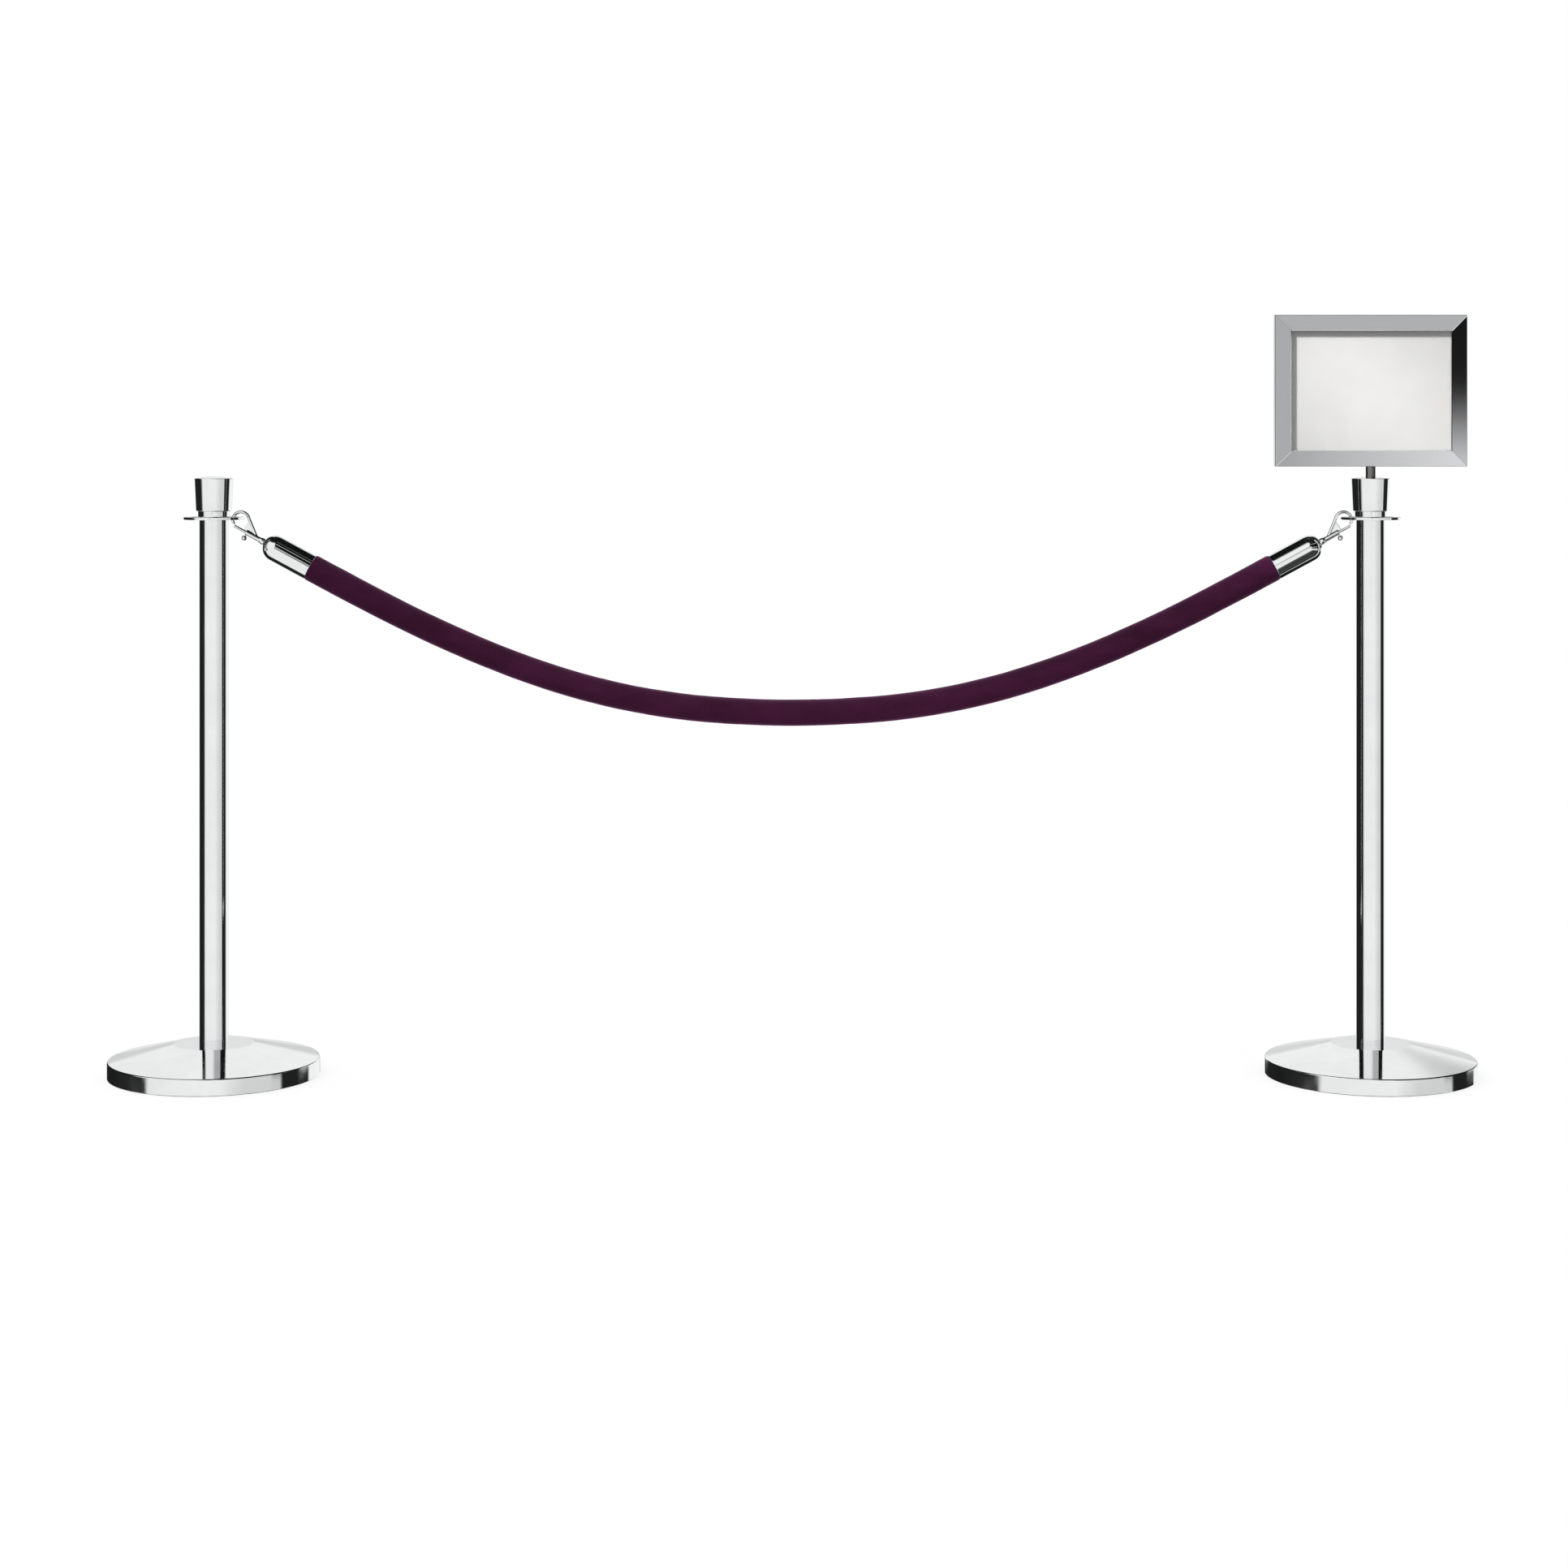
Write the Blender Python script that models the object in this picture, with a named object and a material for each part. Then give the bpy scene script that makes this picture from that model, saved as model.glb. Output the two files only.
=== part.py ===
"""Velvet barrier rope: two polished posts, the rope hooked between them, and a sign on the right-hand post.

Metres, +Z up. The origin is on the floor midway between the posts, +X runs along the barrier and the
sign faces -Y. Each moving piece hangs under an empty that stands on its joint's axis.
"""

import math

import bmesh
import bpy
from mathutils import Vector

# Clearances
GAP = 0.0003  # between pieces that touch
HOLE_PLAY = 0.0003  # round a screw or pin in its hole

# Posts
POST_SPACING = 1.854  # between the two posts' axes
BASE_RADIUS = 0.168
SKIRT_FOOT = 0.001  # height of the skirt's lower edge, above the rubber it stands on
SKIRT_TOP = 0.027
PLATEAU_RADIUS = 0.0635
PLATEAU_TOP = 0.0519
COVER_SHEET = 0.0012
TUBE_RADIUS = 0.023
TUBE_WALL = 0.0015
PLUG_HEIGHT = 0.026
RUBBER_HEIGHT = 0.004
RUBBER_WIDTH = 0.012
RUBBER_INSET = 0.002  # from the skirt's inner face
WEIGHT_FOOT = 0.018  # width of the foot round the cast weight
WEIGHT_RIM = 0.013  # height of the foot's inner edge
WEIGHT_ROOF = 0.0345  # underside of the weight's hub, where the washer bears
WEIGHT_CLEAR = 0.0015  # between the rough casting and the cover

# Rope ring: a slotted plate clamped between the tube and the collar
RING_RADIUS = 0.048
RING_TOP = 0.8945
RING_THICKNESS = 0.004
SLOT_INNER = 0.0265
SLOT_OUTER = 0.0365
SLOT_HALF_ANGLE = math.radians(31)
SLOT_COUNT = 4

# Collar and head
COLLAR_RADIUS = 0.0252
HEAD_BOTTOM = 0.9044
HEAD_SHOULDER = 0.9564
HEAD_APEX = 0.9592
HEAD_BOTTOM_RADIUS = 0.0283
HEAD_TOP_RADIUS = 0.0306

# Threaded hardware
BOLT_RADIUS = 0.005
BOLT_HEAD_RADIUS = 0.0098
BOLT_HEAD_HEIGHT = 0.0064
WASHER_RADIUS = 0.016
WASHER_THICKNESS = 0.002
STUD_RADIUS = 0.004
STUD_IN_HEAD = 0.015
STUD_IN_TUBE = 0.020
SET_SCREW_RADIUS = 0.002

# Sign
SIGN_BOTTOM = 0.9755
SIGN_WIDTH = 0.308
SIGN_HEIGHT = 0.243
RAIL_FACE = 0.026
RAIL_DEPTH = 0.018
STEM_RADIUS = 0.0078
STEM_BOTTOM = 0.93
INSERT_WIDTH = 0.279
INSERT_HEIGHT = 0.216
INSERT_PLAY = 0.0005  # each side of the insert in its channel
CHANNEL_WIDTH = 0.0036
CHANNEL_FLOOR = SIGN_BOTTOM + 0.014
FLOOR_UNDER_INSERT = 0.0015  # metal left between the insert and the stem's seat
WINDOW_THICKNESS = 0.001
PAPER_THICKNESS = 0.0004

# Rope. ROPE_ROUTE is the right-hand half of its centre line, from its lowest point to the cap's mouth.
ROPE_RADIUS = 0.0207
SLEEVE_WALL = 0.003
ROPE_TILT = math.radians(28.5)  # of each end, upwards
ROPE_ROUTE = (
    (0.000, 0.5808),
    (0.080, 0.5829),
    (0.160, 0.5887),
    (0.240, 0.6003),
    (0.320, 0.6179),
    (0.400, 0.6418),
    (0.480, 0.6713),
    (0.560, 0.7058),
    (0.630, 0.7393),
    (0.700, 0.7753),
    (0.740, 0.7967),
    (0.7720, 0.8139),
)
ROPE_STEPS = 24  # stretches between points of the finished tube
ROPE_SIDES = 12
CORE_IN_CAP = 0.045

# End cap: a bullet whose mouth holds the rope
CAP_RADIUS = 0.021
CAP_SHEET = 0.0012
CAP_STRAIGHT = 0.0636
CAP_TIP_FLAT = 0.006
CAP_SCREW_SEAT = 0.012  # from the mouth
CAP_SCREW_RADIUS = 0.0016
CAP_SCREW_HEAD_RADIUS = 0.003
CAP_SCREW_HEAD_HEIGHT = 0.0014

# Snap hook, in its own frame: u away from the rope, v up, both measured from the cap's tip
BARREL_RADIUS = 0.0042
BARREL_END = 0.0345
BORE_RADIUS = 0.0026
BORE_START = 0.008
BOSS_RADIUS = 0.0052
BOSS_LENGTH = 0.006
EYE_CENTRE = (0.0507, 0.0133)
EYE_OUTER = 0.0155
EYE_INNER = 0.0105
EYE_THICKNESS = 0.005
WEB_FOOT = (0.0158, 0.002)  # where the web rises from the barrel
EYE_START_OUTER = math.radians(136)  # where the web's straight edge meets the eye
EYE_START_INNER = math.radians(178)
NOSE_ANGLE = math.radians(-62)
LATCH_RADIUS = 0.0023
LATCH_BACK = 0.0235
LATCH_FRONT = 0.0558
KNOB_PLACE = 0.0325
KNOB_RADIUS = 0.0043
KNOB_DROP = 0.0096
KNOB_STEM_RADIUS = 0.0012
LATCH_TRAVEL = 0.012
SPRING_TURNS = 5
SPRING_RADIUS = 0.0019
SPRING_WIRE = 0.00035
RIVET_RADIUS = 0.003
RIVET_HEAD_RADIUS = 0.0055
RIVET_HEAD_HEIGHT = 0.002
RIVET_WASHER = 0.001

RING_MIDDLE = RING_TOP - RING_THICKNESS / 2
CAP_DOME_RISE = math.sqrt(CAP_RADIUS**2 - CAP_TIP_FLAT**2)
CAP_LENGTH = CAP_STRAIGHT + CAP_DOME_RISE
SIDES = {"left": -1, "right": 1}


# Materials


def material(name, colour, roughness, metallic):
    made = bpy.data.materials.new(name)
    made.use_nodes = True
    shader = made.node_tree.nodes["Principled BSDF"]
    shader.inputs["Base Color"].default_value = (*colour, 1)
    shader.inputs["Roughness"].default_value = roughness
    shader.inputs["Metallic"].default_value = metallic
    return made


def all_materials():
    return {
        "chrome": material("chrome", (0.82, 0.83, 0.84), 0.05, 1),
        "satin": material("satin", (0.62, 0.62, 0.63), 0.35, 1),
        "steel": material("steel", (0.45, 0.45, 0.46), 0.35, 1),
        "iron": material("iron", (0.06, 0.06, 0.06), 0.75, 0.6),
        "rubber": material("rubber", (0.02, 0.02, 0.02), 0.85, 0),
        "velvet": material("velvet", (0.048, 0.009, 0.031), 0.9, 0),
        "cotton": material("cotton", (0.7, 0.66, 0.58), 0.95, 0),
        "acrylic": material("acrylic", (0.9, 0.9, 0.9), 0.08, 0),
        "paper": material("paper", (0.82, 0.81, 0.8), 0.9, 0),
    }


# Making and placing objects


def empty(name, location, rotation=(0, 0, 0), parent=None):
    made = bpy.data.objects.new(name, None)
    made.location = location
    made.rotation_euler = rotation
    made.parent = parent
    bpy.context.scene.collection.objects.link(made)
    return made


def solid(name, shape, finish, parent=None, location=(0, 0, 0)):
    """An object from a bmesh, which is freed."""
    bmesh.ops.recalc_face_normals(shape, faces=shape.faces)
    mesh = bpy.data.meshes.new(name)
    shape.to_mesh(mesh)
    shape.free()
    mesh.shade_smooth()
    mesh.set_sharp_from_angle(angle=math.radians(35))
    made = bpy.data.objects.new(name, mesh)
    made.location = location
    made.parent = parent
    if finish:
        mesh.materials.append(finish)
    bpy.context.scene.collection.objects.link(made)
    return made


def helper(name, shape, parent=None, location=(0, 0, 0)):
    """A tool for a Boolean, which never renders."""
    made = solid(name, shape, None, parent, location)
    made.hide_render = True
    made.display_type = "WIRE"
    return made


def boolean(target, tool, operation="DIFFERENCE"):
    modifier = target.modifiers.new(f"{operation.lower()} {tool.name}", "BOOLEAN")
    modifier.operation = operation
    modifier.object = tool


def turned(outline, steps, axis=(0, 0, 1)):
    """A solid of revolution from (radius, height) points, closed on the axis or on themselves."""
    shape = bmesh.new()
    along = Vector(axis)
    across = Vector((1, 0, 0)) if along.x == 0 else Vector((0, 0, 1))
    verts = [shape.verts.new(across * r + along * h) for r, h in outline]
    edges = [shape.edges.new(pair) for pair in zip(verts, verts[1:])]
    if outline[0][0] > 0 or outline[-1][0] > 0:
        edges.append(shape.edges.new((verts[-1], verts[0])))
    turn = {"cent": (0, 0, 0), "axis": along, "angle": math.tau, "steps": steps}
    bmesh.ops.spin(shape, geom=verts + edges, use_merge=True, **turn)
    bmesh.ops.remove_doubles(shape, verts=shape.verts, dist=1e-6)
    return shape


def rod(radius, bottom, top, steps=16, axis=(0, 0, 1)):
    return turned([(0, top), (radius, top), (radius, bottom), (0, bottom)], steps, axis)


def sleeve(inner, outer, bottom, top, steps):
    return turned([(outer, top), (outer, bottom), (inner, bottom), (inner, top)], steps)


def block(low, high):
    shape = bmesh.new()
    size = Vector(high) - Vector(low)
    bmesh.ops.create_cube(shape, size=1)
    bmesh.ops.scale(shape, vec=size, verts=shape.verts)
    bmesh.ops.translate(shape, vec=Vector(low) + size / 2, verts=shape.verts)
    return shape


def extruded(outline, thickness):
    """A flat outline in the X-Z plane, given thickness evenly to both sides of it."""
    shape = bmesh.new()
    face = shape.faces.new([shape.verts.new((x, -thickness / 2, z)) for x, z in outline])
    grown = bmesh.ops.extrude_face_region(shape, geom=[face])["geom"]
    moved = [item for item in grown if isinstance(item, bmesh.types.BMVert)]
    bmesh.ops.translate(shape, vec=(0, thickness, 0), verts=moved)
    return shape


def arc(centre, radius, start, end, steps):
    angles = [start + (end - start) * i / steps for i in range(steps + 1)]
    return [(centre[0] + radius * math.cos(a), centre[1] + radius * math.sin(a)) for a in angles]


def wire(name, points, radius, resolution, finish, parent=None):
    """A round bar along the points, with its ends filled."""
    curve = bpy.data.curves.new(name, "CURVE")
    curve.dimensions = "3D"
    curve.bevel_depth = radius
    curve.bevel_resolution = resolution
    curve.use_fill_caps = True
    curve.materials.append(finish)
    spline = curve.splines.new("POLY")
    spline.points.add(len(points) - 1)
    for point, place in zip(spline.points, points):
        point.co = (*place, 1)
    made = bpy.data.objects.new(name, curve)
    made.parent = parent
    bpy.context.scene.collection.objects.link(made)
    return made


# Posts


def cover_outline():
    """The pressed cover: skirt, shallow cone and the plateau the tube stands on."""
    slope = math.atan2(PLATEAU_TOP - SKIRT_TOP, BASE_RADIUS - PLATEAU_RADIUS)
    bend = COVER_SHEET * math.tan(slope / 2)
    lean = COVER_SHEET * math.tan(math.pi / 4 - slope / 2)
    bore = BOLT_RADIUS + HOLE_PLAY
    return [
        (bore, PLATEAU_TOP),
        (PLATEAU_RADIUS, PLATEAU_TOP),
        (BASE_RADIUS, SKIRT_TOP),
        (BASE_RADIUS, SKIRT_FOOT),
        (BASE_RADIUS - COVER_SHEET, SKIRT_FOOT),
        (BASE_RADIUS - COVER_SHEET, SKIRT_TOP - lean),
        (PLATEAU_RADIUS - bend, PLATEAU_TOP - COVER_SHEET),
        (bore, PLATEAU_TOP - COVER_SHEET),
    ]


def weight_outline():
    """The dished cast weight under the cover, standing on the rubber with the foot round its rim."""
    bore = BOLT_RADIUS + HOLE_PLAY
    clear = COVER_SHEET + WEIGHT_CLEAR
    rim = BASE_RADIUS - clear
    seat = RUBBER_HEIGHT + GAP
    return [
        (bore, PLATEAU_TOP - clear),
        (PLATEAU_RADIUS - clear, PLATEAU_TOP - clear),
        (rim, SKIRT_TOP - clear),
        (rim, seat),
        (rim - WEIGHT_FOOT, seat),
        (rim - 1.2 * WEIGHT_FOOT, WEIGHT_RIM),
        (PLATEAU_RADIUS, WEIGHT_ROOF),
        (bore, WEIGHT_ROOF),
    ]


def base_bolt(side, parent, steel):
    """A hexagon bolt that draws the tube's lower plug down on to the weight."""
    head_bottom = WEIGHT_ROOF - GAP - WASHER_THICKNESS - GAP - BOLT_HEAD_HEIGHT
    middle = head_bottom + BOLT_HEAD_HEIGHT / 2
    top = PLATEAU_TOP + GAP + 0.85 * PLUG_HEIGHT
    bolt = solid(f"{side}_base_bolt", rod(BOLT_RADIUS, middle, top), steel, parent)
    head = rod(BOLT_HEAD_RADIUS, head_bottom, head_bottom + BOLT_HEAD_HEIGHT, 6)
    boolean(bolt, helper(f"{side}_bolt_head_shape", head, parent), "UNION")
    washer_low = head_bottom + BOLT_HEAD_HEIGHT + GAP
    ring = sleeve(BOLT_RADIUS + HOLE_PLAY, WASHER_RADIUS, washer_low, washer_low + WASHER_THICKNESS, 20)
    solid(f"{side}_base_washer", ring, steel, parent)


def base(side, parent, finish):
    outer = BASE_RADIUS - COVER_SHEET - RUBBER_INSET
    rubber = sleeve(outer - RUBBER_WIDTH, outer, 0, RUBBER_HEIGHT, 36)
    solid(f"{side}_floor_ring", rubber, finish["rubber"], parent)
    solid(f"{side}_base_weight", turned(weight_outline(), 32), finish["iron"], parent)
    solid(f"{side}_base_cover", turned(cover_outline(), 48), finish["chrome"], parent)
    base_bolt(side, parent, finish["steel"])


def tube(side, parent, finish):
    """The tube with a threaded plug welded in each end."""
    bottom = PLATEAU_TOP + GAP
    top = RING_TOP - RING_THICKNESS - GAP
    inner = TUBE_RADIUS - TUBE_WALL
    solid(f"{side}_post_tube", sleeve(inner, TUBE_RADIUS, bottom, top, 32), finish["chrome"], parent)
    lower = sleeve(BOLT_RADIUS + HOLE_PLAY, inner - GAP, bottom, bottom + PLUG_HEIGHT, 20)
    solid(f"{side}_tube_plug_lower", lower, finish["steel"], parent)
    upper = sleeve(STUD_RADIUS + HOLE_PLAY, inner - GAP, top - PLUG_HEIGHT, top, 20)
    solid(f"{side}_tube_plug_upper", upper, finish["steel"], parent)


def slot_outline():
    """One kidney slot of the ring, centred on +X."""
    middle = (SLOT_INNER + SLOT_OUTER) / 2
    round_end = (SLOT_OUTER - SLOT_INNER) / 2
    half = SLOT_HALF_ANGLE
    first = (middle * math.cos(half), middle * math.sin(half))
    last = (first[0], -first[1])
    outline = arc((0, 0), SLOT_OUTER, -half, half, 8)
    outline += arc(first, round_end, half, half + math.pi, 6)[1:-1]
    outline += arc((0, 0), SLOT_INNER, half, -half, 6)
    outline += arc(last, round_end, math.pi - half, math.tau - half, 6)[1:-1]
    return outline


def rope_ring(side, parent, finish):
    """The slotted plate that takes a hook on each of its four sides."""
    plate = sleeve(STUD_RADIUS + HOLE_PLAY, RING_RADIUS, RING_TOP - RING_THICKNESS, RING_TOP, 48)
    ring = solid(f"{side}_rope_ring", plate, finish["chrome"], parent)
    for number in range(SLOT_COUNT):
        cutter = helper(f"{side}_slot_shape_{number}", extruded(slot_outline(), 4 * RING_THICKNESS), parent)
        cutter.location = (0, 0, RING_MIDDLE)
        cutter.rotation_euler = (math.pi / 2, 0, number * math.tau / SLOT_COUNT)
        boolean(ring, cutter)


def head(side, parent, finish):
    """The collar, the tapered head and the stud that holds them down on the ring."""
    collar = sleeve(STUD_RADIUS + HOLE_PLAY, COLLAR_RADIUS, RING_TOP + GAP, HEAD_BOTTOM - GAP, 28)
    solid(f"{side}_neck_collar", collar, finish["chrome"], parent)
    stud_top = HEAD_BOTTOM + STUD_IN_HEAD
    bore = STUD_RADIUS + HOLE_PLAY
    crown = HEAD_APEX - HEAD_SHOULDER
    outline = [
        (0, HEAD_APEX),
        (HEAD_TOP_RADIUS * 0.35, HEAD_APEX - crown * 0.35**2),
        (HEAD_TOP_RADIUS * 0.7, HEAD_APEX - crown * 0.7**2),
        (HEAD_TOP_RADIUS, HEAD_SHOULDER),
        (HEAD_BOTTOM_RADIUS, HEAD_BOTTOM),
        (bore, HEAD_BOTTOM),
        (bore, stud_top + GAP),
        (0, stud_top + GAP),
    ]
    solid(f"{side}_post_head", turned(outline, 36), finish["chrome"], parent)
    stud = rod(STUD_RADIUS, RING_TOP - RING_THICKNESS - STUD_IN_TUBE, stud_top)
    solid(f"{side}_head_stud", stud, finish["steel"], parent)


def post(side, finish):
    stand = empty(f"{side}_post_axis", (SIDES[side] * POST_SPACING / 2, 0, 0))
    base(side, stand, finish)
    tube(side, stand, finish)
    rope_ring(side, stand, finish)
    head(side, stand, finish)
    return stand


# Sign


def stem_socket(stand, finish):
    """The bore in the right-hand head that takes the sign's stem, and the screw that pinches it."""
    right_head = bpy.data.objects["right_post_head"]
    bore = rod(STEM_RADIUS + GAP, STEM_BOTTOM - GAP, HEAD_APEX + 0.01, 24)
    boolean(right_head, helper("stem_bore_shape", bore, stand))
    height = (STEM_BOTTOM + HEAD_SHOULDER) / 2
    hole = rod(SET_SCREW_RADIUS + HOLE_PLAY, STEM_RADIUS / 2, 2 * HEAD_TOP_RADIUS, 12, (0, 1, 0))
    boolean(right_head, helper("set_screw_hole_shape", hole, stand, (0, 0, height)))
    screw = rod(SET_SCREW_RADIUS, STEM_RADIUS + GAP, HEAD_BOTTOM_RADIUS, 12, (0, 1, 0))
    solid("sign_set_screw", screw, finish["steel"], stand, (0, 0, height))


def rail_outlines():
    """The four mitred rails of the frame, as outlines in X and Z from the frame's centre."""
    half_w = SIGN_WIDTH / 2
    half_h = SIGN_HEIGHT / 2
    in_w = half_w - RAIL_FACE
    in_h = half_h - RAIL_FACE
    cut = GAP / 2
    across = [(-half_w + cut, half_h), (half_w - cut, half_h), (in_w - cut, in_h), (-in_w + cut, in_h)]
    upright = [(half_w, half_h - cut), (half_w, -half_h + cut), (in_w, -in_h + cut), (in_w, in_h - cut)]
    return {
        "top": across,
        "bottom": [(x, -z) for x, z in across],
        "right": upright,
        "left": [(-x, z) for x, z in upright],
    }


def sign(post_x, finish):
    """The frame on its stem, which turns in the head, and the sheets that lift out of it."""
    middle = SIGN_BOTTOM + SIGN_HEIGHT / 2
    turn = empty("sign_turn_axis", (post_x, 0, 0))
    half_channel = INSERT_WIDTH / 2 + INSERT_PLAY
    channel = block(
        (-half_channel, -CHANNEL_WIDTH / 2, CHANNEL_FLOOR),
        (half_channel, CHANNEL_WIDTH / 2, SIGN_BOTTOM + SIGN_HEIGHT + 0.01),
    )
    cutter = helper("insert_channel_shape", channel, turn)
    for name, outline in rail_outlines().items():
        shape = extruded(outline, RAIL_DEPTH)
        rail = solid(f"sign_rail_{name}", shape, finish["satin"], turn, (0, 0, middle))
        boolean(rail, cutter)
    stem_top = CHANNEL_FLOOR - FLOOR_UNDER_INSERT
    solid("sign_stem", rod(STEM_RADIUS, STEM_BOTTOM, stem_top, 24), finish["steel"], turn)
    seat = rod(STEM_RADIUS + GAP, SIGN_BOTTOM - 0.01, stem_top + GAP, 24)
    boolean(bpy.data.objects["sign_rail_bottom"], helper("stem_seat_shape", seat, turn))
    sign_insert(turn, finish)


def sign_insert(turn, finish):
    """A sheet of paper between two clear windows."""
    lift = empty("sign_insert_axis", (0, 0, CHANNEL_FLOOR + GAP), parent=turn)
    near = PAPER_THICKNESS / 2 + GAP
    layers = {
        "sign_front_window": (-near - WINDOW_THICKNESS, -near, "acrylic"),
        "sign_paper": (-PAPER_THICKNESS / 2, PAPER_THICKNESS / 2, "paper"),
        "sign_back_window": (near, near + WINDOW_THICKNESS, "acrylic"),
    }
    half = INSERT_WIDTH / 2
    for name, (front, back, slot) in layers.items():
        solid(name, block((-half, front, 0), (half, back, INSERT_HEIGHT)), finish[slot], lift)


# Rope


def smooth_through(points, steps):
    """Evenly spaced points along a Catmull-Rom curve, which leaves each end along the cap's axis."""
    out = Vector((math.cos(ROPE_TILT), 0, math.sin(ROPE_TILT))) * ROPE_RADIUS
    mirrored = Vector((-out.x, 0, out.z))
    padded = [points[0] + mirrored, *points, points[-1] + out]
    fine = []
    for before, start, end, after in zip(padded, padded[1:], padded[2:], padded[3:]):
        for t in (i / 12 for i in range(12)):
            ease = 3 * start - before - 3 * end + after
            bend = 2 * before - 5 * start + 4 * end - after
            fine.append(start + ((end - before) * t + bend * t**2 + ease * t**3) / 2)
    fine.append(points[-1])
    travelled = [0]
    for a, b in zip(fine, fine[1:]):
        travelled.append(travelled[-1] + (b - a).length)
    even = []
    for i in range(steps + 1):
        want = travelled[-1] * i / steps
        k = max(1, next((j for j, far in enumerate(travelled) if far >= want - 1e-9), len(fine) - 1))
        share = (want - travelled[k - 1]) / (travelled[k] - travelled[k - 1])
        even.append(fine[k - 1].lerp(fine[k], share))
    return even


def rope_line():
    """The rope's whole centre line, between the two caps' mouths."""
    right = [Vector((x, 0, z)) for x, z in ROPE_ROUTE]
    left = [Vector((-x, 0, z)) for x, z in reversed(ROPE_ROUTE[1:])]
    return smooth_through(left + right, ROPE_STEPS)


def hollow_tube(points, directions, inner, outer, sides):
    """A pipe swept along points in the X-Z plane, open at both ends."""
    shape = bmesh.new()
    loops = []
    for place, ahead in zip(points, directions):
        up = Vector((-ahead.z, 0, ahead.x))
        side = Vector((0, 1, 0))
        for radius in (outer, inner):
            turn = [math.tau * i / sides for i in range(sides)]
            loop = [place + radius * (math.cos(a) * up + math.sin(a) * side) for a in turn]
            loops.append([shape.verts.new(co) for co in loop])
    outers = loops[0::2]
    inners = loops[1::2]
    skins = list(zip(outers, outers[1:])) + list(zip(inners, inners[1:]))
    skins += [(outers[0], inners[0]), (outers[-1], inners[-1])]
    for first, second in skins:
        for i in range(sides):
            j = (i + 1) % sides
            shape.faces.new((first[i], first[j], second[j], second[i]))
    return shape


def rope(swing, finish):
    """The velvet sleeve with the cotton core that fills it and runs on into both caps."""
    line = rope_line()
    tilt_right = Vector((math.cos(ROPE_TILT), 0, math.sin(ROPE_TILT)))
    tilt_left = Vector((-tilt_right.x, 0, tilt_right.z))
    ahead = [(b - a).normalized() for a, b in zip(line, line[2:])]
    ahead = [-tilt_left, *ahead, tilt_right]
    velvet = [line[0] - tilt_left * GAP, *line[1:-1], line[-1] - tilt_right * GAP]
    origin = swing.location
    local = [p - origin for p in velvet]
    skin = hollow_tube(local, ahead, ROPE_RADIUS - SLEEVE_WALL, ROPE_RADIUS, ROPE_SIDES)
    solid("velvet_sleeve", skin, finish["velvet"], swing)
    core = [line[0] + tilt_left * CORE_IN_CAP, *line, line[-1] + tilt_right * CORE_IN_CAP]
    radius = (ROPE_RADIUS - SLEEVE_WALL) * math.cos(math.pi / ROPE_SIDES) - GAP
    wire("rope_core", [p - origin for p in core], radius, 4, finish["cotton"], swing)


def cap_outline():
    """The bullet: mouth at height 0, flat tip with the rivet's hole at the top."""
    inner = CAP_RADIUS - CAP_SHEET
    start = math.asin(CAP_TIP_FLAT / CAP_RADIUS)
    hole = RIVET_RADIUS + HOLE_PLAY
    roof = CAP_LENGTH - CAP_SHEET
    inner_start = math.acos((roof - CAP_STRAIGHT) / inner)  # from the axis
    outside = arc((0, CAP_STRAIGHT), CAP_RADIUS, math.pi / 2 - start, 0, 5)
    inside = arc((0, CAP_STRAIGHT), inner, 0, math.pi / 2 - inner_start, 4)
    return [(hole, CAP_LENGTH), *outside, (CAP_RADIUS, 0), (inner, 0), *inside, (hole, roof)]


def end_cap(side, mouth, finish):
    """The cap and the short screw that grips the core through its back."""
    cap = solid(f"{side}_end_cap", turned(cap_outline(), 28), finish["chrome"], mouth)
    seat = (0, 0, CAP_SCREW_SEAT)
    back = (0, SIDES[side], 0)
    hole = rod(CAP_SCREW_RADIUS + HOLE_PLAY, CAP_RADIUS / 2, 2 * CAP_RADIUS, 12, back)
    boolean(cap, helper(f"{side}_cap_screw_hole_shape", hole, mouth, seat))
    tip = ROPE_RADIUS - SLEEVE_WALL + GAP
    foot = CAP_RADIUS + GAP
    top = foot + CAP_SCREW_HEAD_HEIGHT
    outline = [
        (0, top),
        (0.7 * CAP_SCREW_HEAD_RADIUS, top),
        (CAP_SCREW_HEAD_RADIUS, foot),
        (CAP_SCREW_RADIUS, foot),
        (CAP_SCREW_RADIUS, tip),
        (0, tip),
    ]
    solid(f"{side}_cap_screw", turned(outline, 12, back), finish["steel"], mouth, seat)


# Snap hook. Its empty's +X is u, away from the rope, and its +Z is v.


def eye_outline():
    """The flat teardrop of the hook's eye, from the web on the barrel round to the nose."""
    outer = arc(EYE_CENTRE, EYE_OUTER, EYE_START_OUTER, NOSE_ANGLE, 18)
    inner = arc(EYE_CENTRE, EYE_INNER, NOSE_ANGLE, EYE_START_INNER, 16)
    web_x = inner[-1][0] - 0.001
    return [WEB_FOOT, *outer, *inner, (web_x, EYE_CENTRE[1] - 0.002), (web_x, WEB_FOOT[1])]


def barrel_outline():
    """The barrel round the latch, from the boss on the cap to its open front."""
    return [
        (0, BARREL_END),
        (BARREL_RADIUS, BARREL_END),
        (BARREL_RADIUS, 1.2 * BOSS_LENGTH),
        (BOSS_RADIUS, 0.8 * BOSS_LENGTH),
        (BOSS_RADIUS, GAP),
        (0, GAP),
    ]


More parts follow.
